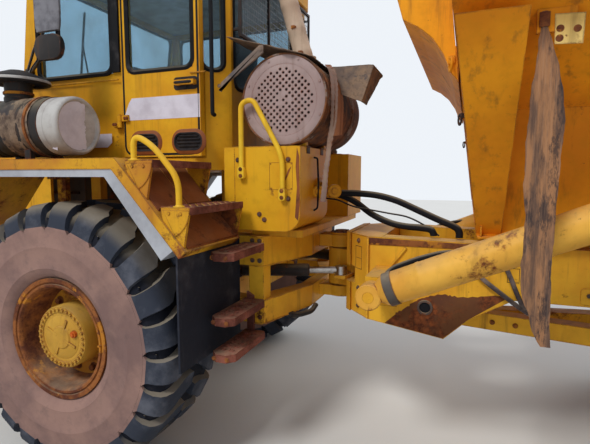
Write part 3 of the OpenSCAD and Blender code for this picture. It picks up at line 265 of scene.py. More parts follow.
def glassFinish():
    f = Finish("dustyGlass")
    f.fill(f.shader, {"Transmission Weight": 0.92, "IOR": 1.05})
    f.colour(f.mix(f.spots(0.35, 0.75, 2.5, 6), (188, 214, 228), (170, 190, 198)))
    f.rough(f.spots(0.4, 0.8, 7, 8, 0.7), 0.03, 0.22)
    return f.material


def chromeFinish(name, tint, scuffed):
    f = Finish(name)
    f.fill(f.shader, {"Metallic": 1.0})
    f.colour(f.mix(f.spots(0.45, 0.7, 13, 8, 0.7), tint, scuffed))
    f.rough(f.noise(30, 6, stretch=(1, 1, 6)), 0.18, 0.45)
    f.bump(f.noise(120, 4), 0.08, 0.001)
    return f.material


def plainFinish(name, main, other, scale=12, rough=(0.5, 0.8), bumpAmount=0.15, sheen=0.0):
    f = Finish(name)
    f.fill(f.shader, {"Sheen Weight": sheen})
    f.colour(f.mix(f.spots(0.35, 0.7, scale, 7, 0.65), main, other))
    f.rough(f.noise(scale * 2, 5), *rough)
    f.bump(f.noise(scale * 8, 5), bumpAmount, 0.002)
    return f.material


yellowPaint = paintedFinish("yellowPaint", (222, 166, 34), (204, 140, 26))
yellowBody = paintedFinish("bodyYellow", (238, 156, 28), (214, 130, 24), rustShare=0.38, streaks=0.55, dust=0.2,
                           gloss=0.62)
yellowFrame = paintedFinish("frameYellow", (232, 176, 48), (210, 146, 38), rustShare=0.45, dust=0.45, streaks=0.5)
yellowFender = paintedFinish("fenderYellow", (214, 158, 36), (178, 112, 40), rustShare=0.75, edgeRust=1, dust=0.5)
yellowCylinder = paintedFinish("cylinderYellow", (232, 176, 72), (212, 150, 56), rustShare=0.6, streaks=0.45)
brightRail = paintedFinish("handRailYellow", (238, 194, 52), (222, 170, 40), rustShare=0.15, edgeRust=0.2, dust=0.2)
rimPaint = paintedFinish("rimYellow", (196, 136, 34), (160, 98, 34), rustShare=0.85, edgeRust=1, dust=0.25)
hubPaint = paintedFinish("hubYellow", (206, 164, 66), (188, 140, 52), rustShare=0.3, edgeRust=0.8, dust=0.2)
flangeRust = rustFinish("flangeRust", (92, 52, 38), (150, 92, 48), (178, 116, 40), 0.06)
treadRust = rustFinish("treadRust", (96, 54, 44), (140, 84, 68))
darkRust = rustFinish("darkRust", (52, 38, 34), (88, 58, 46), (66, 60, 58), 0.02)
sheetGrey = rustFinish("coverGrey", (112, 98, 90), (146, 122, 100), (96, 88, 86), 0.05)
blackPaint = paintedFinish("blackPaint", (40, 38, 38), (56, 52, 50), rustShare=0.3, edgeRust=0.5, dust=0.5, gloss=0.5)
greyCasting = paintedFinish("greyCasting", (72, 68, 66), (92, 84, 76), rustShare=0.6, dust=0.6, gloss=0.6)
beigePaint = paintedFinish("beigePaint", (196, 172, 148), (180, 152, 128), rustShare=0.3, streaks=0.4, dust=0.1,
                           gloss=0.6)
lipGrey = plainFinish("lipGrey", (178, 180, 184), (150, 150, 154), 3.5, (0.55, 0.8), 0.2)
stripeWhite = plainFinish("stripeWhite", (214, 208, 216), (190, 182, 190), 6, (0.45, 0.7), 0.1)
lugRubber = rubberFinish("lugRubber", (52, 56, 66), (92, 94, 102), 0.45, 3.5)
grooveRubber = rubberFinish("grooveRubber", (26, 28, 36), (44, 44, 52), 0.2)
sidewallRubber = sidewallFinish()
flapRubber = rubberFinish("flapRubber", (38, 40, 48), (80, 78, 82), 0.35, 2.5)
strapRubber = wovenFinish("strapRubber")
hoseRubber = rubberFinish("hoseRubber", (24, 24, 28), (58, 54, 54), 0.2, 9)
sealRubber = rubberFinish("sealRubber", (26, 26, 28), (60, 58, 58), 0.25, 9)
dustyGlass = glassFinish()
dullChrome = chromeFinish("rodChrome", (176, 172, 168), (120, 110, 100))
mirrorGlass = chromeFinish("mirrorFace", (208, 218, 226), (170, 180, 188))
meshWire = chromeFinish("guardWire", (120, 120, 122), (84, 80, 76))
seatCloth = plainFinish("seatCloth", (66, 64, 70), (48, 46, 52), 90, (0.85, 0.98), 0.5, 0.3)
cabPlastic = plainFinish("cabPlastic", (70, 68, 66), (54, 52, 52), 20, (0.55, 0.75), 0.25)
capGrey = plainFinish("capPlastic", (186, 182, 176), (150, 142, 136), 7, (0.5, 0.75), 0.3)
capPlasticBlack = plainFinish("ventBlack", (34, 32, 34), (56, 50, 48), 14, (0.5, 0.75), 0.2)
plateRustPaint = paintedFinish("wornBrown", (150, 86, 44), (112, 64, 44), rustShare=0.7, edgeRust=1, dust=0.2,
                               gloss=0.6)
lampLens = plainFinish("lampLens", (222, 222, 216), (196, 196, 190), 30, (0.08, 0.2), 0.1)
plugOrange = plainFinish("plugOrange", (196, 96, 34), (158, 72, 30), 18, (0.45, 0.7), 0.2)
print("materials ready:", len(bpy.data.materials))

cadFinish = {
    yellowFrame: ["rear_frame", "front_frame", "hitch_yoke", "axle_stays", "bumper"],
    yellowPaint: ["cab_body", "cab_roof", "door_left", "side_boxes", "hood"],
    yellowBody: ["load_body", "body_canopy"],
    yellowFender: ["fender_left", "fender_right"],
    yellowCylinder: ["hoist_barrels"],
    brightRail: ["grab_rails"],
    greyCasting: ["bogie_beams", "mid_axle", "rear_axle", "front_axle", "engine"],
    blackPaint: ["window_guard", "mirrors", "hood_grille", "steer_barrel_left", "steer_barrel_right", "air_cleaner"],
    cabPlastic: ["driver_seat", "dash_console"],
    treadRust: ["ladder_steps"],
    darkRust: ["cooler_drum"],
    sheetGrey: ["drum_cover"],
    beigePaint: ["cooler_grille", "exhaust_stack"],
    lipGrey: ["fender_lips"],
    flapRubber: ["front_flaps"],
    strapRubber: ["body_straps"],
    hoseRubber: ["hitch_hoses"],
    dustyGlass: ["cab_glass", "door_glass"],
    dullChrome: ["hoist_stages", "hoist_rods", "steer_rod_left", "steer_rod_right"],
    rimPaint: ["rim_" + name for name in wheelNames],
    sidewallRubber: ["tyre_" + name for name in wheelNames],
}
for material, names in cadFinish.items():
    for name in names:
        nodes[name].data.materials.clear()
        nodes[name].data.materials.append(material)
print("CAD nodes dressed")


# Meshes: each form is built in CAD coordinates, or about its origin, and look picks the material of
# the faces that follow
def steady(direction):
    direction = Vector(direction).normalized()
    side = at(0, 0, 1).cross(direction)
    if side.length < 0.2:
        side = at(1, 0, 0).cross(direction)
    side.normalize()
    return side, direction.cross(side)


def around(count, start=0.0):
    return [start + tau * k / count for k in range(count)]


def waver(seed, t, size):
    # A smooth unevenness
    return size * (0.5 * sin(t * 7.1 + seed) + 0.3 * sin(t * 17.3 + seed * 2.1) + 0.2 * sin(t * 41.7 + seed * 3.7))


def circle(centre, normal, radius, sides=40, dent=0.0, seed=0.0):
    across, up = steady(normal)
    return [Vector(centre) + (across * cos(a) + up * sin(a)) * (radius + waver(seed, a, dent)) for a in around(sides)]


def roundedPath(points, steps=4):
    # A smooth path through the points
    points = [Vector(p) for p in points]
    ends = [points[0] * 2 - points[1]] + points + [points[-1] * 2 - points[-2]]
    path = []
    for i in range(1, len(ends) - 2):
        a, b, c, d = ends[i - 1:i + 3]
        for k in range(steps):
            t = k / steps
            path.append(0.5 * (2 * b + (c - a) * t + (2 * a - 5 * b + 4 * c - d) * t * t
                               + (3 * b - a - 3 * c + d) * t ** 3))
    return path + [points[-1]]


def bentPath(points, radius, steps=5):
    # Straight lengths with round bends of one radius
    points = [Vector(p) for p in points]
    path = [points[0]]
    for a, b, c in zip(points, points[1:], points[2:]):
        into, out = (a - b), (c - b)
        reach = min(radius, into.length * 0.48, out.length * 0.48)
        first, last = b + into.normalized() * reach, b + out.normalized() * reach
        for k in range(steps + 1):
            t = k / steps
            path.append(first * (1 - t) ** 2 + b * 2 * t * (1 - t) + last * t * t)
    return path + [points[-1]]


class Form:
    def __init__(self, origin=(0, 0, 0)):
        self.mesh = bmesh.new()
        self.look = 0
        self.origin = origin

    def face(self, verts):
        try:
            face = self.mesh.faces.new(verts)
        except ValueError:
            return None
        face.material_index = self.look
        return face

    def rings(self, rings, closed=True, caps=True, loop=False):
        # Skin over rings of points, each with as many points
        made = [[self.mesh.verts.new(p) for p in ring] for ring in rings]
        count = len(made[0])
        pairs = list(zip(made, made[1:])) + ([(made[-1], made[0])] if loop else [])
        for first, second in pairs:
            for k in range(count if closed else count - 1):
                j = (k + 1) % count
                self.face((first[k], first[j], second[j], second[k]))
        if caps and not loop:
            self.face(made[0][::-1])
            self.face(made[-1])
        return made

    def box(self, lowCorner, highCorner, soft=0.0, turn=None, about=None):
        (x0, y0, z0), (x1, y1, z1) = lowCorner, highCorner
        foot = ((x0, y0), (x1, y0), (x1, y1), (x0, y1))
        self.settle(self.fresh(self.rings, [[(x, y, z) for x, y in foot] for z in (z0, z1)]), soft, turn, about)

    def settle(self, fresh, soft, turn, about):
        if turn is not None:
            centre = Vector(about) if about is not None else sum((v.co for v in fresh), Vector()) / len(fresh)
            bmesh.ops.rotate(self.mesh, verts=fresh, cent=centre, matrix=turn)
        if soft:
            edges = list({e for v in fresh for e in v.link_edges})
            made = bmesh.ops.bevel(self.mesh, geom=edges, offset=soft, segments=2, profile=0.6, affect="EDGES")
            for face in made["faces"]:
                face.material_index = self.look

    def plate(self, outline, axis, start, end, soft=0.0, turn=None, about=None):
        # An outline drawn across an axis: (y, z) for X, (x, z) for Y, (x, y) for Z
        spot = {"X": lambda p, s: (s, *p), "Y": lambda p, s: (p[0], s, p[1]), "Z": lambda p, s: (*p, s)}[axis]
        self.settle(self.fresh(self.rings, [[spot(p, s) for p in outline] for s in (start, end)]), soft, turn, about)

    def rod(self, first, last, radius, sides=16, endRadius=None):
        along = Vector(last) - Vector(first)
        self.rings([circle(first, along, radius, sides),
                    circle(last, along, radius if endRadius is None else endRadius, sides)])

    def tube(self, path, radius, sides=10, radii=None, flat=1.0):
        # A round bar along a path, with its section carried along without a twist
        path = [Vector(p) for p in path]
        across, up = steady(path[1] - path[0])
        rings = []
        for i, point in enumerate(path):
            ahead = (path[min(i + 1, len(path) - 1)] - path[max(i - 1, 0)]).normalized()
            across = (across - ahead * across.dot(ahead)).normalized()
            up = ahead.cross(across)
            r = radii[i] if radii else radius
            rings.append([point + across * cos(a) * r + up * sin(a) * r * flat for a in around(sides)])
        self.rings(rings)

    def lathe(self, profile, centre, axis="Y", sides=64, looks=None, outward=1, closed=False):
        # Profile points are (radius, distance along the axis)
        centre = Vector(centre)
        rings = []
        for a in around(sides):
            ring = []
            for r, along in profile:
                along *= outward
                c, s = r * cos(a), r * sin(a)
                ring.append(centre + Vector({"Y": (c, along, s), "X": (along, c, s), "Z": (c, s, along)}[axis]))
            rings.append(ring)
        base = self.look
        made = [[self.mesh.verts.new(p) for p in ring] for ring in rings]
        count = len(profile)
        for i in range(sides):
            first, second = made[i], made[(i + 1) % sides]
            for k in range(count if closed else count - 1):
                j = (k + 1) % count
                self.look = looks[k] if looks else base
                self.face((first[k], first[j], second[j], second[k]))
        self.look = base
        bmesh.ops.remove_doubles(self.mesh, verts=[v for ring in made for v in ring], dist=1e-6)

    def bolt(self, place, towards, width=0.022, tall=0.012, washer=True):
        place, towards = Vector(place), Vector(towards).normalized()
        if washer:
            self.rod(place - towards * 0.001, place + towards * 0.003, width * 0.78, 12)
        self.rod(place, place + towards * tall, width * 0.56, 6, width * 0.52)

    def copies(self, centre, axis, count, build, start=0.0):
        # The same piece repeated in a ring
        for a in around(count, start):
            fresh = self.fresh(build)
            bmesh.ops.rotate(self.mesh, verts=fresh, cent=Vector(centre), matrix=Matrix.Rotation(a, 3, axis))

    def fresh(self, build, *given):
        # The corners that build adds
        before = set(self.mesh.verts)
        build(*given)
        return [v for v in self.mesh.verts if v not in before]

    def mirrored(self, build):
        # What build adds on the left, and its mirror image on the right
        build(self)
        fresh = self.fresh(build, self)
        for v in fresh:
            v.co.y = -v.co.y
        bmesh.ops.reverse_faces(self.mesh, faces=list({f for v in fresh for f in v.link_faces}))

    def finish(self, name, looks, body=None, slot=None, replaces=(), soft=0.0, angle=35, outward=True):
        data = bpy.data.meshes.new(name)
        if outward:
            bmesh.ops.recalc_face_normals(self.mesh, faces=self.mesh.faces)
        bmesh.ops.translate(self.mesh, verts=self.mesh.verts, vec=self.origin)
        self.mesh.to_mesh(data)
        self.mesh.free()
        for look in looks:
            data.materials.append(look)
        data.shade_smooth()
        data.set_sharp_from_angle(angle=radians(angle))
        return place(name, data, body, slot, replaces, soft)


def place(name, data, body, slot, replaces=(), soft=0.0):
    piece = show(name, data)
    if soft:
        bevel = piece.modifiers.new("softEdges", "BEVEL")
        bevel.width = soft
        bevel.segments = 2
        bevel.limit_method = "ANGLE"
    if body:
        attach(piece, body)
    if replaces:
        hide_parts(*replaces)
    return piece


# Wheels: one tyre mesh and one rim mesh, placed six times
tyre = {
    "lugs": 24,            # on one side
    "grooveDepth": 0.038,
    "grooveEnd": 0.652,    # radius where the grooves end on the side wall
    "sidewallGap": 0.002,
}
halfWidth = tyreWidth / 2 - tyre["sidewallGap"]
lugTop = tyreRadius - 0.0006
rimEdge = 0.2565           # half the width over the rim's flanges
beadRadius = 0.3656


def tyreMesh():
    form = Form()
    deep = tyre["grooveDepth"]
    half = [(beadRadius - 0.045, rimEdge - 0.019), (beadRadius, rimEdge - 0.019), (beadRadius + 0.006, rimEdge - 0.012),
            (0.395, halfWidth - 0.022), (0.42, halfWidth - 0.014), (0.428, halfWidth - 0.009),
            (0.436, halfWidth - 0.011), (0.515, halfWidth - 0.001), (0.548, halfWidth), (0.552, halfWidth + 0.0015),
            (0.557, halfWidth + 0.0015), (0.561, halfWidth), (0.628, halfWidth - 0.0015),
            (tyre["grooveEnd"] - 0.001, halfWidth - 0.003), (tyre["grooveEnd"] + 0.004, halfWidth - 0.02),
            (0.7, halfWidth - 0.032), (0.745, halfWidth - 0.056), (lugTop - deep, halfWidth - 0.1),
            (lugTop - deep, 0.06), (lugTop - deep, 0.0)]
    looks = [0] * 13 + [1] * 6
    profile = [(r, -y) for r, y in half] + [(r, y) for r, y in half[-2::-1]]
    form.lathe(profile, (0, 0, 0), sides=156, looks=looks + looks[::-1])
    # Lugs: strips that follow the section from the side wall to the middle of the tread
    pitch = tau / tyre["lugs"]
    stations = [
        # radius, distance from the side, half width and shift as shares of the pitch, depth under the top
        (0.653, 0.0034, 0.5, 0.0, 0.02), (0.66, 0.004, 0.455, 0.0, 0.022), (0.672, 0.0052, 0.385, 0.0, 0.026),
        (0.69, 0.0072, 0.345, 0.0, 0.03), (0.732, 0.014, 0.325, 0.01, 0.036), (0.77, 0.033, 0.32, 0.03, 0.04),
        (0.79, 0.056, 0.325, 0.05, 0.042), (lugTop, 0.095, 0.335, 0.09, 0.042), (lugTop, 0.14, 0.35, 0.16, 0.042),
        (lugTop, 0.175, 0.3, 0.3, 0.042), (lugTop, 0.23, 0.26, 0.42, 0.042), (lugTop, 0.275, 0.19, 0.47, 0.042)]
    for side in (-1, 1):
        for k in range(tyre["lugs"]):
            start = pitch * (k + (0.5 if side > 0 else 0))
            rings = []
            for i, (r, inset, share, shift, depth) in enumerate(stations):
                y = halfWidth - inset
                # towards the middle of the section, down into the carcass
                normal = Vector((-0.35, -1)) if i < 4 else Vector((-0.8, -0.7)) if i < 7 else Vector((-1, -0.0))
                normal.normalize()
                corners = []
                for edge, (rr, yy) in ((-1, (r, y)), (1, (r, y)), (1, (r + normal.x * depth, y + normal.y * depth)),
                                       (-1, (r + normal.x * depth, y + normal.y * depth))):
                    spread = share * (1.0 if (rr, yy) == (r, y) else 1.13)
                    a = start + pitch * (shift + edge * min(spread, 0.5))
                    corners.append((rr * cos(a), side * yy, rr * sin(a)))
                rings.append(corners)
            form.look = 2
            form.rings(rings)
    for face in form.mesh.faces:           # the outer ends of the lugs are side wall
        centre = face.calc_center_median()
        if face.material_index == 2 and hypot(centre.x, centre.z) < 0.672:
            face.material_index = 0
    # Small pads between the lugs, down in the grooves
    form.look = 1
    for side in (-1, 1):
        for k in range(0, tyre["lugs"], 2):
            a = pitch * (k + (1.0 if side > 0 else 0.5))
            spot = at(0.715 * cos(a), side * (halfWidth - 0.036), 0.715 * sin(a))
            form.rod(spot, spot + at(0, side * 0.007, 0), 0.008, 8)
    data = form.finish("tyreShape", [sidewallRubber, grooveRubber, lugRubber]).data
    bpy.data.objects.remove(bpy.data.objects["tyreShape"])
    return data


def rimMesh():
    form = Form()
    outer = [(0.318, 0.2385), (0.365, 0.2385), (0.365, 0.2565), (0.352, 0.259), (0.341, 0.2565), (0.337, 0.248),
             (0.331, 0.248), (0.328, 0.256), (0.316, 0.255), (0.306, 0.245), (0.302, 0.23), (0.301, 0.15),
             (0.297, 0.144), (0.292, 0.09), (0.284, 0.068), (0.27, 0.062), (0.206, 0.062), (0.2, 0.07),
             (0.2, 0.086), (0.192, 0.09), (0.19, 0.21), (0.183, 0.224), (0.152, 0.224), (0.149, 0.219),
             (0.132, 0.219), (0.126, 0.2235), (0.07, 0.226), (0.064, 0.232), (0.02, 0.233), (0.0001, 0.233)]
    outerLooks = [1] * 12 + [1, 1, 0, 0, 0, 0, 0, 2, 2] + [2] * 8
    inner = [(0.0001, -0.059), (0.17, -0.059), (0.176, -0.05), (0.18, -0.01), (0.286, 0.01), (0.302, 0.0),
             (0.302, -0.24), (0.32, -0.2565), (0.365, -0.2565), (0.365, -0.2385), (0.318, -0.2385), (0.318, 0.2385)]
    form.lathe([(r, -d) for r, d in outer], (0, 0, 0), sides=72, looks=outerLooks)
    form.lathe([(r, -d) for r, d in inner], (0, 0, 0), sides=72, looks=[0] * 3 + [1] * 8)
    out = at(0, -1, 0)
    form.look = 2
    form.copies((0, 0, 0), "Y", 32, lambda: form.bolt((0.1675, -0.2235, 0), out, 0.017, 0.011, False))
    form.copies((0, 0, 0), "Y", 4, lambda: form.box((0.03, -0.2315, -0.007), (0.118, -0.223, 0.007), 0.002), 0.3)
    form.look = 1
    form.copies((0, 0, 0), "Y", 12, lambda: form.bolt((0.245, -0.0615, 0), out, 0.036, 0.026), 0.1)
    form.look = 3
    form.rod((0.098, -0.22, 0.046), (0.098, -0.239, 0.046), 0.02, 20)
    form.bolt((0.098, -0.239, 0.046), out, 0.022, 0.008, False)
    form.look = 1
    form.rod((0.325, -0.22, 0.04), (0.325, -0.272, 0.046), 0.006, 10)   # valve
    data = form.finish("rimShape", [rimPaint, flangeRust, hubPaint, plugOrange]).data
    bpy.data.objects.remove(bpy.data.objects["rimShape"])
    return data


tyreShape, rimShape = tyreMesh(), rimMesh()
for index, name in enumerate(wheelNames):
    turned = pi if name.endswith("right") else 0
    placed = (Matrix.Translation(wheelCentre[name]) @ Matrix.Rotation(turned, 4, "Z")
              @ Matrix.Rotation(0.12 + 1.1 * index, 4, "Y"))
    for kind, shape in (("tyre", tyreShape), ("rim", rimShape)):
        piece = show(f"{kind}_dressed_{name}", shape)
        piece.matrix_world = placed
        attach(piece, "wheel_" + name)
        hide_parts(f"{kind}_{name}")
print("wheels done")


# Cab: rubber round the windows, roof edge, door fittings and wiper
cab = {
    "sealWidth": 0.03,
    "cornerRadius": 0.055,
    "stripe": (2.125, 2.265),       # low and high edge of the pale stripe on the door
    "ventPlaces": (-2.183, -1.858),
    "ventHeight": 1.978,
    "ventSize": (0.2, 0.105),
    "post": 0.085,                  # half the depth of the slanted rear corner
    "roofEdge": 3.232,
    "roofRibs": (-0.52, -0.26, 0.0, 0.26, 0.52),
}
cabSide = low("cab_body").y + 0.028     # outer face of the left wall, without the door's hinges
doorFace = low("door_glass").y - 0.02
cabFront, cabBack = low("cab_body").x, high("cab_body").x


def roundedRectangle(x0, x1, z0, z1, radius, steps=5):
    outline = []
    for cx, cz, start in ((x1 - radius, z1 - radius, 0), (x0 + radius, z1 - radius, 90),
                          (x0 + radius, z0 + radius, 180), (x1 - radius, z0 + radius, 270)):
        for k in range(steps + 1):
            a = radians(start + 90 * k / steps)
            outline.append((cx + radius * cos(a), cz + radius * sin(a)))
    return outline


def sealRing(form, opening, place, front=0.01, back=-0.012, width=None, lipIn=0.014):
    # A rubber ring round a window; place turns (across, up, out) into a point
    x0, x1, z0, z1 = opening
    width = width or cab["sealWidth"]
    r = cab["cornerRadius"]
    wide = roundedRectangle(x0 - width + lipIn, x1 + width - lipIn, z0 - width + lipIn, z1 + width - lipIn, r + 0.012)
    narrow = roundedRectangle(x0 + lipIn, x1 - lipIn, z0 + lipIn, z1 - lipIn, r - 0.01)
    half = [((a[0] + b[0]) / 2, (a[1] + b[1]) / 2) for a, b in zip(wide, narrow)]
    layers = [(wide, back), (wide, front * 0.6 + back * 0.4), (half, front), (narrow, front * 0.5 + back * 0.5),
              (narrow, back)]
    form.rings([[place(x, z, out) for x, z in outline] for outline, out in layers], caps=False, loop=True)


def onLeft(y):
    return lambda x, z, out: (x, y - out, z)


def onRight(y):
    return lambda x, z, out: (x, y + out, z)


seals = Form()
sideOpening = (-3.09, -2.44, 2.44, 3.16)
sealRing(seals, sideOpening, onLeft(cabSide))
sealRing(seals, sideOpening, onRight(-cabSide))
sealRing(seals, (-2.37, -1.79, 2.44, 3.16), onRight(-cabSide))
sealRing(seals, (-0.64, 0.64, 2.33, 3.16), lambda y, z, out: (cabBack + out, y, z))
rake = 0.11 / 0.81
sealRing(seals, (-0.78, 0.78, 2.44, 3.16), lambda y, z, out: (cabFront + (z - 2.41) * rake - out, y, z))
for side in (-1, 1):
    outwards = at(1, side, 0).normalized()
    along = at(-side, 1, 0).normalized()
    centre = at(cabBack - cab["post"], side * (0.85 - cab["post"]), 0)
    sealRing(seals, (-0.065, 0.065, 2.43, 3.16),
             lambda a, z, out: tuple(centre + along * a + outwards * out + at(0, 0, z)), lipIn=0.008)
seals.finish("windowRubber", [sealRubber], "front_unit", "rubber")

# Black band between the side window and the door, and the drip edge over both
trim = Form()
trim.box((-2.436, cabSide - 0.004, 2.44), (-2.374, cabSide + 0.01, 3.165), 0.002)
trim.look = 1
for side in (-1, 1):
    y = side * 0.884
    edge = [(x, across, cab["roofEdge"])
            for x, across in ((-3.1, y), (-1.84, y), (-1.62, side * 0.665), (-1.618, side * 0.05))]
    trim.tube(bentPath(edge, 0.03), 0.013, 8)
trim.tube([(-3.128, y, cab["roofEdge"] + 0.004) for y in (-0.84, 0.84)], 0.012, 8)
for y in cab["roofRibs"]:
    trim.tube([(-2.98, y, 3.3235), (-1.86, y, 3.3235)], 0.012, 8, flat=0.5)
# the panel joint under the windows, ahead of the door and behind it
for x0, x1 in ((-3.262, -2.385), (-1.722, -1.832)):
    trim.tube([(x0, cabSide - 0.001, 2.392), (x1, cabSide - 0.001, 2.392)], 0.005, 6)
trim.finish("cabTrim", [sealRubber, yellowPaint], "front_unit", "painted_yellow")

# Door: rubber, pale stripe with a slanted front end, oval vents, handle and hinge bolts
door = Form()
sealRing(door, (-2.31, -1.82, 2.43, 3.13), onLeft(doorFace), 0.009, -0.01)
sealRing(door, (-2.352, -1.778, 1.9, 3.172), onLeft(doorFace), 0.002, -0.004, width=0.02)


def ventOval(x, grow):
    w, h = (size / 2 + grow for size in cab["ventSize"])
    return roundedRectangle(x - w, x + w, cab["ventHeight"] - h, cab["ventHeight"] + h, h - 0.004, 7)


door.look = 1
z0, z1 = cab["stripe"]
door.plate([(-2.345, z0), (-1.772, z0), (-1.772, z1), (-2.285, z1), (-2.31, z1 - 0.03), (-2.345, z0 + 0.035)], "Y",
           doorFace - 0.0015, doorFace + 0.001)
for x in cab["ventPlaces"]:
    wide, tall = cab["ventSize"]
    for look, layers, caps in ((3, ((0.026, 0), (0.022, 0.004), (0.012, 0.006), (0.004, 0.011)), False),
                               (2, ((0.004, 0.011), (-0.004, 0.011), (-0.008, 0.002), (-0.03, 0.002)), False),
                               (2, ((-0.028, 0.002), (-0.028, -0.002)), True)):
        door.look = look
        door.rings([[(a, doorFace - out, b) for a, b in ventOval(x, grow)] for grow, out in layers], caps=caps)
    for row in range(4):
        z = cab["ventHeight"] - tall / 2 + 0.02 + row * 0.021
        reach = wide / 2 - (0.03 if row in (0, 3) else 0.016)
        door.box((x - reach, doorFace - 0.01, z), (x + reach, doorFace - 0.001, z + 0.008), 0.002,
                 Matrix.Rotation(0.5, 3, "X"))
door.look = 2
# handle: back plate, grip and lock
door.plate(roundedRectangle(-1.955, -1.785, 2.295, 2.372, 0.02), "Y", doorFace - 0.004, doorFace + 0.001)
door.tube(bentPath([(-1.93, doorFace - 0.002, 2.334), (-1.93, doorFace - 0.034, 2.334),
                    (-1.806, doorFace - 0.034, 2.334), (-1.806, doorFace - 0.002, 2.334)], 0.016), 0.01, 10)
door.rod((-1.868, doorFace - 0.002, 2.312), (-1.868, doorFace - 0.01, 2.312), 0.011, 16)
door.look = 3
for z in (2.14, 3.02):
    for x in (-2.335, -2.318):
        door.bolt((x, doorFace - 0.018, z), (0, -1, 0), 0.014, 0.008)
door.finish("doorFittings", [sealRubber, stripeWhite, capPlasticBlack, plateRustPaint], "door", "rubber")

# Pale stripe ahead of the door, hinge bolts and grab loop on the left wall
wall = Form()
wall.plate([(-3.18, 1.955), (-2.5, 1.955), (-2.46, 1.985), (-2.46, 2.045), (-3.18, 2.045)], "Y", cabSide - 0.0015,
           cabSide + 0.001)
wall.look = 1
for z in (2.1, 2.98):
    for x in (-2.415, -2.398):
        wall.bolt((x, cabSide - 0.028, z), (0, -1, 0), 0.014, 0.008)
wall.look = 2
wall.tube(bentPath([(-1.7, -0.812, 2.14), (-1.69, -0.852, 2.14), (-1.69, -0.852, 2.86), (-1.7, -0.812, 2.86)], 0.04),
          0.013, 10)
wall.finish("cabWallFittings", [stripeWhite, plateRustPaint, sealRubber], "front_unit", "painted_yellow")

# Wiper with its arm and motor cap on the windscreen
wiper = Form()
slope = at(rake, 0, 1).normalized()
pivot = at(cabFront - 0.012, -0.16, 2.425)
wiper.rod(pivot + at(0.02, 0, 0), pivot - at(0.012, 0, 0), 0.022, 16)
tip = pivot + slope * 0.4 + at(0, -0.16, 0)
wiper.tube([pivot, (pivot + tip) / 2 - at(0.012, 0, 0), tip], 0.007, 8)
wiper.box(tuple(tip + at(-0.01, -0.008, -0.27)), tuple(tip + at(0.004, 0.006, 0.27)), 0.002,
          Matrix.Rotation(atan(rake), 3, "Y"))
wiper.finish("wiper", [sealRubber], "front_unit", "dark_steel")
print("cab outside done")


# Inside the cab: padded seat, console with dials and levers, steering wheel, floor mat and pedals
seat = {"back": 10.0, "lift": 0.26, "shift": 0.21}        # lean in degrees, and where the backrest stands
seatLow = low("driver_seat")
floorZ = seatLow.z
seatX = seatLow.x + 0.25


def cushion(name, lowCorner, highCorner, body, turn=None, about=None, channels=()):
    # A crowned pad whose sides pull in between its corners, with sewn channels across it
    form = Form()
    (x0, y0, z0), (x1, y1, z1) = lowCorner, highCorner
    steps = 14
    sheet = {}
    for layer in (0, 1):
        for i in range(steps + 1):
            for j in range(steps + 1):
                u, v = i / steps, j / steps
                pullX, pullY = (0.022 * sin(pi * w) * ((n == 0) - (n == steps)) for w, n in ((v, i), (u, j)))
                rim = min(1.0, 6 * min(u, 1 - u, v, 1 - v) + 0.25)
                groove = max([exp(-((u - c) / 0.022) ** 2) for c in channels] + [0]) * 0.4
                crown = (1 - (2 * u - 1) ** 4) * (1 - (2 * v - 1) ** 4)
                half = (z1 - z0) / 2 * (0.55 + 0.45 * crown) * rim ** 0.4 * (1 - groove * (1 if layer else 0))
                x = x0 + (x1 - x0) * u + pullX
                y = y0 + (y1 - y0) * v + pullY
                sheet[layer, i, j] = form.mesh.verts.new((x, y, (z0 + z1) / 2 + (half if layer else -half)))
    for layer in (0, 1):
        for i in range(steps):
            for j in range(steps):
                corners = [sheet[layer, i, j], sheet[layer, i + 1, j], sheet[layer, i + 1, j + 1],
                           sheet[layer, i, j + 1]]
                form.face(corners if layer else corners[::-1])
    ring = ([(i, 0) for i in range(steps)] + [(steps, j) for j in range(steps)]
            + [(i, steps) for i in range(steps, 0, -1)] + [(0, j) for j in range(steps, 0, -1)])
    for a, b in zip(ring, ring[1:] + ring[:1]):
        form.face([sheet[(0, *a)], sheet[(0, *b)], sheet[(1, *b)], sheet[(1, *a)]])
    # piping along the seam
    form.look = 1
    edge = [(sheet[(0, *a)].co + sheet[(1, *a)].co) / 2 for a in ring]
    form.tube(edge + [edge[0]], 0.005, 6)
    if turn is not None:
        bmesh.ops.rotate(form.mesh, verts=form.mesh.verts, cent=Vector(about), matrix=turn)
    piece = form.finish(name, [seatCloth, sealRubber], body, "rubber", angle=60)
    return piece


seatTop = floorZ + 0.43
seatPlace = at(seatX, 0, floorZ)
cushion("seatCushion", (seatX - 0.25, -0.25, seatTop - 0.125), (seatX + 0.2, 0.25, seatTop + 0.004), "front_unit",
        channels=(0.28, 0.52, 0.76))
backrest = cushion("seatBackrest", (seatX - 0.3, -0.235, seatTop - 0.02), (seatX + 0.29, 0.235, seatTop + 0.09),
                   "front_unit", Matrix.Rotation(radians(-90 + seat["back"]), 3, "Y"),
                   (seatX + 0.02, 0, seatTop + 0.05), channels=(0.2, 0.4, 0.6, 0.8))
backrest.data.transform(Matrix.Translation((seat["shift"], 0, seat["lift"])))

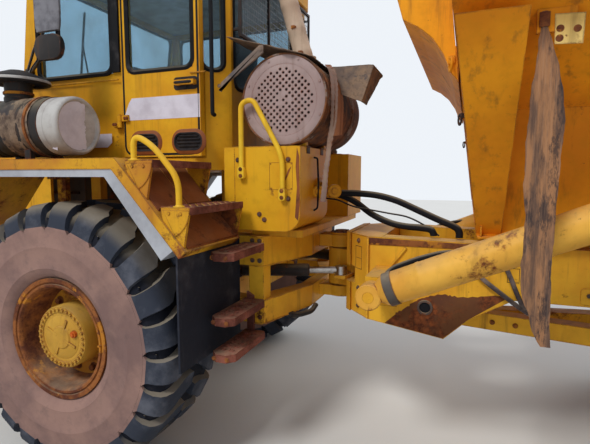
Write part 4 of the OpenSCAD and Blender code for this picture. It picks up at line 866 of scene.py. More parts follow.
base = Form(seatPlace)
base.box((-0.18, -0.19, 0), (0.18, 0.19, 0.06), 0.008)
for k in range(5):
    grow = 0.012 if k % 2 else 0.0
    base.box((-0.15 - grow, -0.16 - grow, 0.06 + k * 0.045),
             (0.15 + grow, 0.16 + grow, 0.105 + k * 0.045), 0.01)
base.box((-0.23, -0.235, 0.285), (0.22, 0.235, 0.315), 0.006)
for side in (-1, 1):
    base.tube(bentPath([(0.2, side * 0.262, 0.34), (0.22, side * 0.262, 0.6),
                        (-0.12, side * 0.262, 0.64)], 0.05), 0.016, 10)
base.look = 1
for side in (-1, 1):
    base.box((-0.13, side * 0.262 - 0.026, 0.64), (0.15, side * 0.262 + 0.026, 0.672), 0.01,
             Matrix.Rotation(0.11, 3, "Y"))
base.finish("seatBase", [cabPlastic, seatCloth], "front_unit", "dark_steel", replaces=("driver_seat",))

console = Form(at(low("dash_console").x, 0, floorZ))
console.plate([(0, 0), (0.17, 0), (0.285, 0.545), (0.25, 0.625), (0, 0.61)], "Y",
              -0.56, 0.56, 0.014)
console.box((0.1, -0.3, 0.6), (0.26, 0.3, 0.668), 0.016)
for y in (-0.2, -0.09, 0.09, 0.2):
    console.look = 1
    console.rod((0.258, y, 0.632), (0.27, y, 0.634), 0.034, 24)
    console.look = 2
    console.rod((0.27, y, 0.634), (0.273, y, 0.6345), 0.029, 24)
console.look = 1
for k in range(7):
    console.box((0.262, -0.5 + k * 0.035, 0.56), (0.284, -0.478 + k * 0.035, 0.58), 0.003)
for y in (-0.14, 0.0, 0.14):   # pedals
    console.box((0.2, y - 0.035, 0.1), (0.215, y + 0.035, 0.22), 0.004, Matrix.Rotation(-0.5, 3, "Y"))
    console.rod((0.12, y, 0.06), (0.21, y, 0.15), 0.008, 8)
# column, rim and spokes
column = at(0.24, 0, 0.5), at(0.405, 0, 0.68)
console.rod(*column, 0.026, 16, 0.02)
aim = (column[1] - column[0]).normalized()
wheelAt = column[1] + aim * 0.012
across, up = steady(aim)
rim = circle(wheelAt, aim, 0.2)
console.tube(rim + rim[:1], 0.014, 8)
for a in (0.5, 2.6, 4.71):
    console.rod(wheelAt, wheelAt + (across * cos(a) + up * sin(a)) * 0.195, 0.012, 8)
console.rod(wheelAt - aim * 0.01, wheelAt + aim * 0.022, 0.042, 20, 0.034)
console.finish("dashAndWheel", [cabPlastic, sealRubber, lampLens], "front_unit", "dark_steel",
               replaces=("dash_console",))

levers = Form(seatPlace)
levers.box((-0.22, 0.38, 0), (0.2, 0.6, 0.4), 0.02)
for x, y in ((-0.12, 0.44), (-0.03, 0.52), (0.07, 0.46)):
    levers.look = 1
    levers.rod((x, y, 0.395), (x, y, 0.425), 0.034, 16, 0.014)
    levers.rod((x, y, 0.42), (x - 0.02, y, 0.54), 0.006, 8)
    levers.rod((x - 0.02, y, 0.535), (x - 0.028, y, 0.585), 0.016, 12, 0.021)
levers.finish("leverBox", [cabPlastic, sealRubber], "front_unit", "dark_steel")

mat = Form()
mat.box((cabFront + 0.09, -0.79, floorZ + 0.0005), (cabBack - 0.18, 0.79, floorZ + 0.006), 0.002)
for k in range(24):
    x = cabFront + 0.4 + k * 0.045
    if not (seatX - 0.2 < x < seatX + 0.2):
        mat.box((x, -0.76, floorZ + 0.005), (x + 0.015, 0.36, floorZ + 0.009), 0.001)
mat.look = 1
mat.box((cabFront + 0.16, -0.775, 3.196), (cabBack - 0.1, 0.775, 3.216), 0.006)   # roof lining
mat.finish("floorMatAndLining", [sealRubber, capGrey], "front_unit", "rubber")
print("cab inside done")


# Fenders: studded deck, worn brown plates on the slope, lips and grips on the step treads
fender = {"studs": (20, 9), "lipDepth": 0.036, "deckTop": 1.86, "deckBack": -1.93, "slopeFall": 0.47 / 0.42}


def slopeHeight(x):
    return fender["deckTop"] - (x - fender["deckBack"]) * fender["slopeFall"]


def lens(centreX, centreY, length, width, turn):
    shape = [(-0.5, 0), (-0.25, -0.5), (0.25, -0.5), (0.5, 0), (0.25, 0.5), (-0.25, 0.5)]
    c, s = cos(turn), sin(turn)
    return [(centreX + u * length * c - v * width * s, centreY + u * length * s + v * width * c) for u, v in shape]


def fenderTop(form):
    across, along = fender["studs"]
    form.look = 0
    for i in range(across):
        for j in range(along):
            x, y = -3.04 + i * 0.0565, -1.385 + j * 0.0615
            form.plate(lens(x, y, 0.034, 0.011, radians(45 if (i + j) % 2 else -45)), "Z",
                       fender["deckTop"] - 0.0005, fender["deckTop"] + 0.0025)
    form.look = 1
    normal = at(0.746, 0, 0.666)
    for x0, x1, y0, y1 in ((-1.895, -1.69, -1.4, -1.13), (-1.888, -1.7, -1.118, -0.882),
                           (-1.668, -1.522, -1.398, -0.884)):
        a, b = at(x0, 0, slopeHeight(x0)), at(x1, 0, slopeHeight(x1))
        form.plate([(p.x, p.z) for p in (a, b, b + normal * 0.004, a + normal * 0.004)], "Y", y0, y1)
        form.plate([(p.x, p.z) for p in (b - normal * 0.001, b + at(0.004, 0, -0.005), b + normal * 0.016)], "Y",
                   y0, y1)
    for x in (-1.87, -1.655):
        z = 1.844 if x < -1.8 else 1.609
        form.look = 2
        form.box((x + 0.16, -1.418, z - fender["lipDepth"]), (x + 0.1722, -0.862, z + 0.003), 0.002)
        form.box((x - 0.002, -1.418, z - 0.024), (x + 0.006, -0.862, z + 0.003), 0.002)
        for i in range(9):
            for j in range(3):
                form.lathe([(0.0145, 0), (0.0125, 0.005), (0.0085, 0.005), (0.0075, 0.001)],
                           (x + 0.04 + j * 0.045, -1.375 + i * 0.0585, z - 0.0005), "Z", 12)
        form.look = 0
        arc = [(x + 0.01 + 0.16 * cos(a), z - 0.012 - 0.15 * sin(a)) for a in (radians(9 * k) for k in range(8))]
        form.plate([(x + 0.012, z - 0.012)] + arc, "Y", -1.4245, -1.4195, 0.001)
        for u in (0.05, 0.12):
            form.bolt((x + u, -1.424, z - 0.03), (0, -1, 0), 0.015, 0.005, False)
    form.look = 0
    for x in (-3.03, -2.74, -2.45, -2.16, -1.97):
        form.bolt((x, -1.4265, 1.8285), (0, -1, 0), 0.017, 0.0032, False)


tops = Form()
tops.mirrored(fenderTop)
tops.finish("fenderTops", [yellowFender, plateRustPaint, treadRust], "front_unit", "painted_yellow")


# Ladder treads: rusty channels with cut corners and punched rings, held by two straps
ladder = {"pitch": 0.056, "corner": 0.04, "wall": 0.006}
treads = Form()


def ladderTread(z):
    x0, x1, y0, y1, c = -1.5295, -1.3855, -1.1995, -0.7605, ladder["corner"]
    top = [(x0, y0 + c), (x0 + c, y0), (x1 - c, y0), (x1, y0 + c), (x1, y1 - c * 0.4), (x1 - c * 0.4, y1), (x0, y1)]
    treads.look = 0
    treads.plate(top, "Z", z + 0.0395, z + 0.0449, 0.0012)
    for (ax, ay), (bx, by) in zip(top, top[1:] + top[:1]):
        inward = at(-(by - ay), bx - ax, 0).normalized() * ladder["wall"]
        treads.plate([(ax, ay), (bx, by), (bx + inward.x, by + inward.y), (ax + inward.x, ay + inward.y)], "Z",
                     z + 0.0003, z + 0.042)
    for i in range(6):
        for j in range(2):
            treads.lathe([(0.0165, -0.001), (0.015, 0.0052), (0.0105, 0.0052), (0.0085, 0.0006)],
                         (x0 + 0.045 + j * 0.054, y0 + 0.078 + i * ladder["pitch"], z + 0.0444), "Z", 14)
    treads.look = 1
    for x in (x0 + 0.03, x0 + 0.11):
        treads.bolt((x, y0 + 0.0005, z + 0.021), (0, -1, 0), 0.017, 0.007)


for z in (1.305, 0.945, 0.74):
    ladderTread(z)
treads.look = 0
treads.plate([(-1.509, 0.782), (-1.461, 0.782), (-1.461, 1.01), (-1.509, 1.038)], "Y", -0.7795, -0.7605, 0.002)
treads.box((-1.5, -0.7795, 1.3), (-1.47, -0.7605, 1.348), 0.002)
treads.finish("ladderTreads", [treadRust, flangeRust], "front_unit", "rusty_steel", ["ladder_steps"])
print("fender tops and ladder done")


# Box behind the cab: seam, bolts, worn edges, the bare place of a plate; tank on the far side
box = {"plateCorners": ((-1.336, 1.682), (-1.188, 1.844)), "boltSize": 0.02}
boxFace = -0.8
panel = Form()


def outlinePlate(form, corners, width, outer, inner):
    # The four thin edges of a blank plate
    x0, x1, z0, z1 = corners
    for a, b, c, d in ((x0, z0, x1, z0 + width), (x0, z1 - width, x1, z1), (x0, z0, x0 + width, z1),
                       (x1 - width, z0, x1, z1)):
        form.box((a, outer, b), (c, inner, d))


panel.box((-1.5735, boxFace - 0.0016, 1.432), (-1.5695, boxFace + 0.001, 1.938))       # weld seam
for k in range(34):
    z = 1.44 + k * 0.0147
    panel.lathe([(0.0035, -0.0004), (0.0042, 0.001), (0.002, 0.0016)], (-1.5715, boxFace, z), "Y", 8, outward=-1)
panel.look = 1
(px0, pz0), (px1, pz1) = box["plateCorners"]
outlinePlate(panel, (px0, px1, pz0, pz1), 0.002, boxFace - 0.001, boxFace + 0.001)
for x in (px0 + 0.008, px1 - 0.008):
    for z in (pz0 + 0.008, pz1 - 0.008):
        panel.lathe([(0.004, 0), (0.0032, 0.0018), (0.0001, 0.0022)], (x, boxFace, z), "Y", 10, outward=-1)
panel.look = 2
for x, z in ((-1.548, 1.862), (-1.548, 1.56), (-1.405, 1.532), (-1.372, 1.5), (-1.215, 1.862), (-1.215, 1.63)):
    panel.bolt((x, boxFace, z), (0, -1, 0), box["boltSize"], 0.011)
panel.look = 3
lid = roundedRectangle(-1.612, -1.178, -0.77, -0.28, 0.03)
panel.plate(lid, "Z", 1.9395, 1.945, 0.0015)          # lid on the top with a seal under it
panel.look = 4
panel.plate(roundedRectangle(-1.618, -1.172, -0.776, -0.274, 0.034), "Z", 1.9385, 1.9402)
panel.look = 2
for y in (-0.66, -0.39):
    panel.box((-1.14, y - 0.03, 1.9), (-1.137, y + 0.03, 1.942), 0.0008)
    panel.rod((-1.1385, y - 0.03, 1.943), (-1.1385, y + 0.03, 1.943), 0.005, 12)
panel.look = 1
scars = [[(-1.268, 1.706), (-1.246, 1.716), (-1.214, 1.772), (-1.194, 1.822), (-1.216, 1.8), (-1.232, 1.76),
          (-1.262, 1.728)],
         [(-1.172, 1.52), (-1.152, 1.5), (-1.142, 1.6), (-1.146, 1.88), (-1.16, 1.93), (-1.168, 1.82), (-1.16, 1.7)]]
for scar in scars:
    panel.plate(scar, "Y", boxFace - 0.0007, boxFace + 0.0005)
panel.finish("boxFittings", [yellowPaint, plateRustPaint, greyCasting, yellowFrame, sealRubber], "front_unit",
             "painted_yellow")

tank = Form()
tankFace = high("side_boxes").y
for x in (-1.56, -1.24):
    tank.look = 0
    tank.plate(roundedRectangle(x - 0.03, x + 0.03, 1.436, 1.936, 0.006), "Y", tankFace - 0.002, tankFace + 0.006,
               0.0015)
    tank.plate([(x - 0.03, 0.335), (x + 0.03, 0.335), (x + 0.03, tankFace + 0.006), (x - 0.03, tankFace + 0.006)], "Z",
               1.9385, 1.945, 0.0015)
    tank.look = 1
    for z in (1.47, 1.9):
        tank.bolt((x, tankFace + 0.005, z), (0, 1, 0), 0.018, 0.01)
tank.look = 1
filler = at(-1.4, 0.69, 1.939)
tank.lathe([(0.05, 0), (0.05, 0.022), (0.058, 0.024), (0.058, 0.052), (0.052, 0.06), (0.0001, 0.062)], filler, "Z", 40)
for a in around(18):
    grip = filler + at(0.0575 * cos(a), 0.0575 * sin(a), 0.027)
    tank.rod(grip, grip + at(0, 0, 0.023), 0.0042, 8)
tank.look = 2
tank.box((-1.325, tankFace - 0.001, 1.52), (-1.3, tankFace + 0.004, 1.85), 0.0015)      # level glass
tank.look = 3
tank.box((-1.32, tankFace + 0.0035, 1.53), (-1.305, tankFace + 0.006, 1.84), 0.001)
tank.finish("tankFittings", [yellowFrame, greyCasting, blackPaint, lampLens], "front_unit", "painted_yellow")


# Cooler drum: shell with rolled rim and bands, and a plate with real holes set into its mouth
drum = {"holePitch": 0.0279, "holeRadius": 0.0076, "plateShare": 0.7, "bands": (0.1, 0.42, 0.74)}
drumCentre = middle("cooler_drum")
drumRadius = (high("cooler_drum").x - low("cooler_drum").x) / 2
drumCentre.z = high("cooler_drum").z - drumRadius
drumFront, drumBack = low("cooler_drum").y, high("cooler_drum").y

drumRust = rustFinish("drumRust", (70, 54, 48), (132, 84, 50), (132, 116, 106), 0.07)
mauvePlate = paintedFinish("mauvePlate", (172, 150, 144), (152, 128, 122), rustShare=0.25, streaks=0.5, dust=0.15,
                           gloss=0.65)
shell = Form(at(drumCentre.x, drumFront, drumCentre.z))
rim, depth = drumRadius, drumBack - drumFront
profile = [(rim - 0.012, 0.31), (rim - 0.012, 0.006), (rim - 0.01, 0.0015), (rim - 0.005, 0.0), (rim - 0.001, 0.002),
           (rim, 0.008), (rim - 0.001, 0.014), (rim - 0.004, 0.016)]
for share in drum["bands"]:
    y = share * depth
    profile += [(rim - 0.004, y - 0.016), (rim - 0.0002, y - 0.013), (rim - 0.0002, y + 0.013),
                (rim - 0.004, y + 0.016)]
profile += [(rim - 0.004, depth - 0.012), (rim - 0.008, depth - 0.002), (rim - 0.02, depth), (0.075, depth),
            (0.07, depth - 0.004), (0.0001, depth - 0.004)]
shell.lathe(profile, (0, 0, 0), "Y", 88)
shell.look = 1
shell.lathe([(rim - 0.012, 0.306), (0.08, 0.306), (0.075, 0.27), (0.0001, 0.262)], (0, 0, 0), "Y", 64)
hub = at(0, 0.225, 0)
for a in around(9):                         # blades of the fan behind the plate
    arm = at(cos(a), 0, sin(a))
    side = at(-sin(a), 0, cos(a))
    shell.rings([[hub + arm * r + side * w + at(0, t, 0)
                  for w, t in ((-s, 0.018), (s, -0.022), (s, -0.018), (-s, 0.022))]
                 for r, s in ((0.06, 0.024), (0.15, 0.04), (0.235, 0.046))])
shell.look = 2
footZ = low("cooler_drum").z - drumCentre.z
for y in (0.09, -0.32 - drumFront):
    for x in (-0.11, 0.085):
        shell.box((x, y, footZ), (x + 0.025, y + 0.05, -0.235), 0.002)
    saddle = [(r * sin(a), -r * cos(a))
              for r, turns in ((rim + 0.0002, range(-5, 6)), (rim - 0.01, range(5, -6, -1)))
              for a in (radians(4.8 * k) for k in turns)]
    shell.plate(saddle, "Y", y, y + 0.05)
    shell.box((-0.116, y - 0.004, footZ), (0.116, y + 0.054, footZ + 0.008), 0.002)
    for x in (-0.06, 0.06):
        shell.bolt((x, y + 0.025, footZ + 0.008), (0, 0, 1), 0.018, 0.01)
shell.finish("drumShell", [drumRust, blackPaint, yellowFrame], "front_unit", "rusty_steel", ["cooler_drum"])


def holedPlate(form, centre, radius, share, pitch, hole, y0, y1):
    # A round plate of square cells set corner down: the inner ones have a round hole, some stay closed,
    # and a flat rim covers their edge
    reach = int(radius / pitch) + 2
    half = pitch / 2
    edge = [(half, half * k / 2) for k in (-2, -1, 0, 1)]
    for turn in range(3):
        edge += [(-v, u) for u, v in edge[4 * turn:4 * turn + 4]]
    slant, sides = sqrt(0.5), 16
    cells = [(row * pitch, col * pitch) for row in range(-reach, reach + 1) for col in range(-reach, reach + 1)
             if hypot(row, col) * pitch < radius - 0.024]
    openCells = 0

    def corners(cell, points, y):
        flat = [(cell[0] + u, cell[1] + v) for u, v in points]
        return [form.mesh.verts.new((centre.x + (u - v) * slant, y, centre.z + (u + v) * slant)) for u, v in flat]

    for k, cell in enumerate(cells):
        outer = [corners(cell, edge, y) for y in (y0, y1)]
        away = hypot(*cell)
        if away > radius * share or (away < 0.055 and (k * 7) % 5 < 2):
            form.face(outer[0])
            form.face(outer[1][::-1])
            continue
        turns = around(sides, atan2(edge[0][1], edge[0][0]))
        inner = [corners(cell, [(hole * cos(a), hole * sin(a)) for a in turns], y) for y in (y0, y1)]
        for n in range(sides):
            m = (n + 1) % sides
            form.face((outer[0][n], outer[0][m], inner[0][m], inner[0][n]))
            form.face((outer[1][m], outer[1][n], inner[1][n], inner[1][m]))
            form.face((inner[0][n], inner[0][m], inner[1][m], inner[1][n]))
        openCells += 1
    bmesh.ops.remove_doubles(form.mesh, verts=form.mesh.verts, dist=1e-5)
    rim = radius - 0.052
    form.lathe([(rim, y1 - y0 + 0.0006), (rim, -0.0006), (rim + 0.003, -0.0014), (radius - 0.004, -0.0014),
                (radius, 0.001), (radius, 0.008), (radius - 0.004, 0.0095)],
               (centre.x, y0, centre.z), "Y", 80, closed=True)
    return openCells


holes = Form()
plateFront, plateBack, boltRing = low("cooler_grille").y, high("cooler_grille").y, drumRadius - 0.026
count = holedPlate(holes, drumCentre, drumRadius - 0.0087, drum["plateShare"], drum["holePitch"], drum["holeRadius"],
                   plateFront, plateBack)
for a in around(8, tau / 16):
    holes.bolt((drumCentre.x + boltRing * cos(a), plateFront - 0.0034, drumCentre.z + boltRing * sin(a)),
               (0, -1, 0), 0.015, 0.0022, False)
holes.finish("drumPlate", [mauvePlate], "front_unit", "beige_paint", ["cooler_grille"], outward=False)
print("drum plate with", count, "holes")


# Bent sheet over the drum: torn edges, dents, a hole round the exhaust, a narrower flap behind
cover = {"dent": 0.0022, "thick": 0.0028, "tear": 0.024, "lift": 0.0042}
stackPlace = at(high("exhaust_stack").x - 0.068, middle("exhaust_stack").y, low("exhaust_stack").z)
coverTilt = radians(16)


def coverHeight(x):
    return drumCentre.z + (drumRadius + 0.0003) / cos(coverTilt) - (x - drumCentre.x) * tan(coverTilt)


def band(path, halfWidths, lean, thick):
    # A torn strip along a path; lean turns (across, out) into a shift
    return [[p + lean(w, t) for w, t in ((-s, 0), (s, 0), (s, thick), (-s, thick))] for p, s in zip(path, halfWidths)]


sheet = Form()
columns, rows, stackHole = 30, 48, 0.084
grid = []
for i in range(columns + 1):
    line = []
    for j in range(rows + 1):
        u, v = i / columns, j / rows
        front = -1.618 + abs(waver(1.0, v * 3, 0.01))
        back = -1.077 - abs(waver(2.5, v * 4, cover["tear"] * 0.5)) - 0.05 * max(0, v - 0.78) * 4
        left = -0.818 + abs(waver(0.3, u * 3, cover["tear"])) + 0.05 * max(0, u - 0.8) * 4
        right = 0.098 - abs(waver(4.0, u * 3, cover["tear"] * 0.6))
        x, y = front + (back - front) * u, left + (right - left) * v
        z = coverHeight(x) + cover["lift"] + waver(v * 5, u * 2.2, cover["dent"])
        dx, dy = x - (drumCentre.x - 0.008), y - stackPlace.y
        r = hypot(dx, dy)
        inHole = r < stackHole
        if inHole and r > 1e-6:
            x, y = x + dx * (stackHole / r - 1), y + dy * (stackHole / r - 1)
        line.append((sheet.mesh.verts.new((x, y, z)), inHole))
    grid.append(line)
for i in range(columns):
    for j in range(rows):
        corners = (grid[i][j], grid[i + 1][j], grid[i + 1][j + 1], grid[i][j + 1])
        if not all(inHole for _, inHole in corners):
            sheet.face([v for v, _ in corners])
path = roundedPath([(-1.1, 0, coverHeight(-1.1) + cover["lift"]), (-1.06, 0, 2.4395), (-0.9, 0, 2.434),
                    (-0.792, 0, 2.431), (-0.7795, 0, 2.424), (-0.789, 0, 2.395), (-0.812, 0, 2.32), (-0.85, 0, 2.216)],
                   5)
flap = []
for i, point in enumerate(path):
    t = i / (len(path) - 1)
    left = -0.508 + abs(waver(1.7, t * 4, 0.003))
    right = -0.192 - abs(waver(3.1, t * 4, 0.014)) - 0.42 * max(0, t - 0.62)
    flap.append([sheet.mesh.verts.new((point.x + waver(k, t * 5, 0.0015), left + (right - left) * k / 16,
                                       point.z + waver(k * 0.7, t * 3, 0.0012))) for k in range(17)])
for first, second in zip(flap, flap[1:]):
    for k in range(16):
        sheet.face((first[k], second[k], second[k + 1], first[k + 1]))
loose = [v for v in sheet.mesh.verts if not v.link_faces]
bmesh.ops.delete(sheet.mesh, geom=loose, context="VERTS")
bmesh.ops.remove_doubles(sheet.mesh, verts=sheet.mesh.verts, dist=1e-5)
coverPiece = sheet.finish("drumCoverSheet", [sheetGrey], "front_unit", "rusty_steel", ["drum_cover"], outward=False,
                          angle=50)
solid = coverPiece.modifiers.new("thickness", "SOLIDIFY")
solid.thickness = cover["thick"]
solid.offset = 0.0

tornStrip = paintedFinish("tornStrip", (170, 144, 124), (120, 98, 88), rustShare=0.2, streaks=0.6, dust=0.1, gloss=0.8)
# The torn sheet's tan-brown is set much lighter than the sheet's own colour: painted light on a strip that lies in
# shade
tornSheetPaintedLight = paintedFinish("tornSheetPaintedLight", (204, 156, 116), (160, 112, 80), rustShare=0.5, streaks=0.7, dust=0.1, gloss=0.8)
prop = Form()
prop.plate([(-1.366, 2.5235), (-1.394, 2.526), (cabBack - 0.004, 2.33), (cabBack - 0.004, 2.276), (-1.672, 2.288),
            (-1.37, 2.48)], "Y", -0.811, -0.797, 0.002)
for x, z in ((-1.664, 2.312), (-1.384, 2.5)):
    prop.bolt((x, -0.8108, z), (0, -1, 0), 0.015, 0.006)
skirt = [(-1.066, 2.437), (-0.93, 2.4335), (-0.792, 2.4305), (-0.78, 2.4235), (-0.789, 2.395), (-0.812, 2.32),
         (-0.85, 2.216), (-0.93, 2.248), (-1.018, 2.285), (-1.044, 2.36)]
prop.plate(skirt, "Y", -0.509, -0.5062)
prop.look = 1
strip = roundedPath([(-1.05, -0.56, 2.442), (-1.0, -0.64, 2.38), (-0.974, -0.7, 2.28), (-0.972, -0.712, 2.18),
                     (-0.976, -0.706, 2.08), (-0.99, -0.712, 1.98), (-1.0, -0.704, 1.88), (-1.012, -0.712, 1.78),
                     (-1.02, -0.706, 1.69), (-1.028, -0.712, 1.61)], 6)
for shift, width, share in ((0.0, 0.013, 1.0), (0.021, 0.009, 0.72)):        # two torn strands side by side
    strand = [p + at(shift * sin(0.2 + i * 0.08), shift * 0.3, 0)
              for i, p in enumerate(strip[:int(len(strip) * share)])]
    widths = [width + waver(2.0 + shift * 40, i * 0.9, 0.007) for i in range(len(strand))]
    prop.rings(band(strand, widths, lambda w, t: at(w, 0.5 * w + t, 0), 0.0016))
# the torn sheet takes the lightened colour, which is painted light
prop.look = 2
torn = roundedPath([(-1.052, -0.53, 2.44), (-1.016, -0.545, 2.38), (-0.984, -0.56, 2.3), (-0.974, -0.565, 2.21),
                    (-0.976, -0.565, 2.12), (-0.98, -0.57, 2.01)], 6)
widths = [min(0.095, 0.018 + 0.0045 * i) + waver(5.0, i * 0.9, 0.01) for i in range(len(torn))]
prop.rings(band(torn, widths, lambda w, t: at(t, w, 0.1 * w), 0.0022))
prop.finish("coverPropAndStrips", [sheetGrey, tornStrip, tornSheetPaintedLight], "front_unit", "rusty_steel")


# Exhaust: flange with bolts, leaning pipe with bands, wider open end
exhaust = {"pipe": 0.0615, "end": 0.0695, "wall": 0.004, "bands": (0.1, 0.5, 0.88)}
stack = Form()
base = at(drumCentre.x, stackPlace.y, stackPlace.z)
bend, top = at(drumCentre.x - 0.138, base.y, 2.95), at(drumCentre.x - 0.15, base.y, 3.279)
lean = (bend - base).normalized()
stack.rings([circle(base + at(0, 0, z), (0, 0, 1), r)
             for z, r in ((0.0, 0.0675), (0.008, 0.0675), (0.012, 0.064), (0.06, 0.0635), (0.069, 0.0625))])
stations = [(base + lean * 0.04, exhaust["pipe"] - 0.001)]
length = (bend - base).length
for share in exhaust["bands"]:
    for offset, grow in ((-0.022, -0.001), (-0.018, 0.0005), (0.018, 0.0005), (0.022, -0.001)):
        stations.append((base + lean * (share * (length - 0.06) + 0.05 + offset), exhaust["pipe"] + grow))
stations.append((bend, exhaust["pipe"] - 0.001))
stack.rings([circle(p, lean, r, dent=0.0007, seed=i) for i, (p, r) in enumerate(stations)])
rise = (top - bend).normalized()
slant = (rise + at(-0.22, 0, 0)).normalized()
endRadius, bore = exhaust["end"], exhaust["end"] - exhaust["wall"]
lip = top - rise * 0.022
stack.rings([circle(bend - rise * 0.004, rise, exhaust["pipe"] - 0.002),
             circle(bend + rise * 0.006, rise, endRadius - 0.002),
             circle(bend + rise * 0.014, rise, endRadius, dent=0.0004),
             circle(top - rise * 0.05, rise, endRadius, dent=0.0005, seed=3),
             circle(lip, slant, endRadius - 0.0005, dent=0.0008, seed=4), circle(lip, slant, bore, dent=0.0008, seed=4),
             circle(top - rise * 0.2, rise, bore)])
stack.look = 1
for a in around(4, radians(45)):
    stack.bolt(base + at(0.052 * cos(a), 0.052 * sin(a), 0.062), (0, 0, 1), 0.013, 0.009)
for share in exhaust["bands"][:2]:
    middlePoint = base + lean * (share * (length - 0.06) + 0.05)
    stack.box(middlePoint + at(-0.012, -0.069, -0.01), middlePoint + at(0.012, -0.06, 0.01), 0.002)
    stack.bolt(middlePoint + at(0.01, -0.064, 0), (1, 0, 0), 0.012, 0.01, False)
stack.finish("exhaustPipe", [beigePaint, flangeRust], "front_unit", "beige_paint", ["exhaust_stack"])


# Window guard: a frame of flat bar with crossed wires
guard = {"acrossPitch": 0.0275, "crossWires": 13, "wire": 0.0018, "bar": 0.02}
guardLow, guardHigh = low("window_guard"), high("window_guard")
mesh = Form()
gx0, gx1, gy = guardHigh.x - 0.0195, guardHigh.x - 0.0005, guardHigh.y - 0.0005
gz0, gz1 = guardLow.z + 0.0005, guardHigh.z - 0.0005
for z in (gz0, gz1 - guard["bar"]):
    mesh.box((gx0, -gy, z), (gx1, gy, z + guard["bar"]), 0.003)
for y in (-gy, -gy / 3, gy / 3, gy - guard["bar"]):
    mesh.box((gx0 + 0.0004, y, gz0 + 0.01), (gx1 - 0.0004, y + guard["bar"], gz1 - 0.01), 0.003)
for z in (gz0 + 0.04, gz1 - 0.06):
    for side in (-1, 1):
        y0, y1 = sorted((side * (gy - 0.002), side * (gy - 0.018)))
        mesh.box((guardLow.x, y0, z), (gx0 + 0.002, y1, z + 0.016), 0.002)
        mesh.bolt((gx1, (y0 + y1) / 2, z + 0.008), (1, 0, 0), 0.012, 0.0004, False)
mesh.look = 1
wireX, upPitch = gx0 + 0.008, (gz1 - gz0 - 0.02) / guard["crossWires"]
y = -gy + guard["bar"] + 0.01
while y < gy - guard["bar"]:
    wires = [(wireX + 0.0018 * (-1) ** k, y, gz0 + 0.01 + k * upPitch) for k in range(guard["crossWires"] + 1)]
    mesh.tube(wires, guard["wire"], 6)
    y += guard["acrossPitch"]
z = gz0 + 0.01 + upPitch / 2
while z < gz1 - guard["bar"]:
    mesh.rod((wireX, -gy + 0.01, z), (wireX, gy - 0.01, z), guard["wire"], 6)
    z += upPitch
mesh.finish("windowGuard", [blackPaint, meshWire], "front_unit", "dark_steel", ["window_guard"])


# Hand rails: bent tube, flattened ends bolted to the box, feet welded to the steps
rails = {"radius": 0.0158, "bend": 0.075}
grab = Form()
# the rail over the steps and the one on the box: y, then the path in x and z
railPaths = {-1.385: [(-1.84, 1.845), (-1.84, 1.98), (-1.72, 1.92), (-1.57, 1.75), (-1.57, 1.61)],
             -0.8176: [(-1.515, 1.762), (-1.515, 2.2), (-1.435, 2.22), (-1.245, 1.88), (-1.245, 1.632)]}
for y, points in railPaths.items():
    grab.tube(bentPath([(x, y, z) for x, z in points], rails["bend"], 7), rails["radius"], 18)
for x, z in ((-1.84, 1.845), (-1.57, 1.61)):
    grab.lathe([(0.03, 0), (0.03, 0.004), (0.02, 0.006), (0.0165, 0.012)], (x, -1.385, z - 0.0003), "Z", 28)
for x, z in ((-1.515, 1.79), (-1.245, 1.662)):
    grab.plate(roundedRectangle(x - 0.021, x + 0.021, z - 0.042, z + 0.03, 0.012), "Y", -0.8325, -0.8004, 0.003)
grab.look = 1
for x, z in ((-1.515, 1.765), (-1.515, 1.805), (-1.245, 1.637), (-1.245, 1.677)):
    grab.bolt((x, -0.832, z), (0, -1, 0), 0.016, 0.006)
grab.finish("handRails", [brightRail, flangeRust], "front_unit", "painted_yellow", ["grab_rails"])
print("cover, exhaust, guard and rails done")


# Mirrors: tubular arms, a long head wrapped in tape, a small head with a rusty clamp, a loose cable
mirror = {"tube": 0.0138, "wrap": 0.0045, "cable": 0.0035}
tapeGrey = plainFinish("wrapTape", (124, 122, 126), (74, 72, 76), 9, (0.35, 0.7), 0.6)


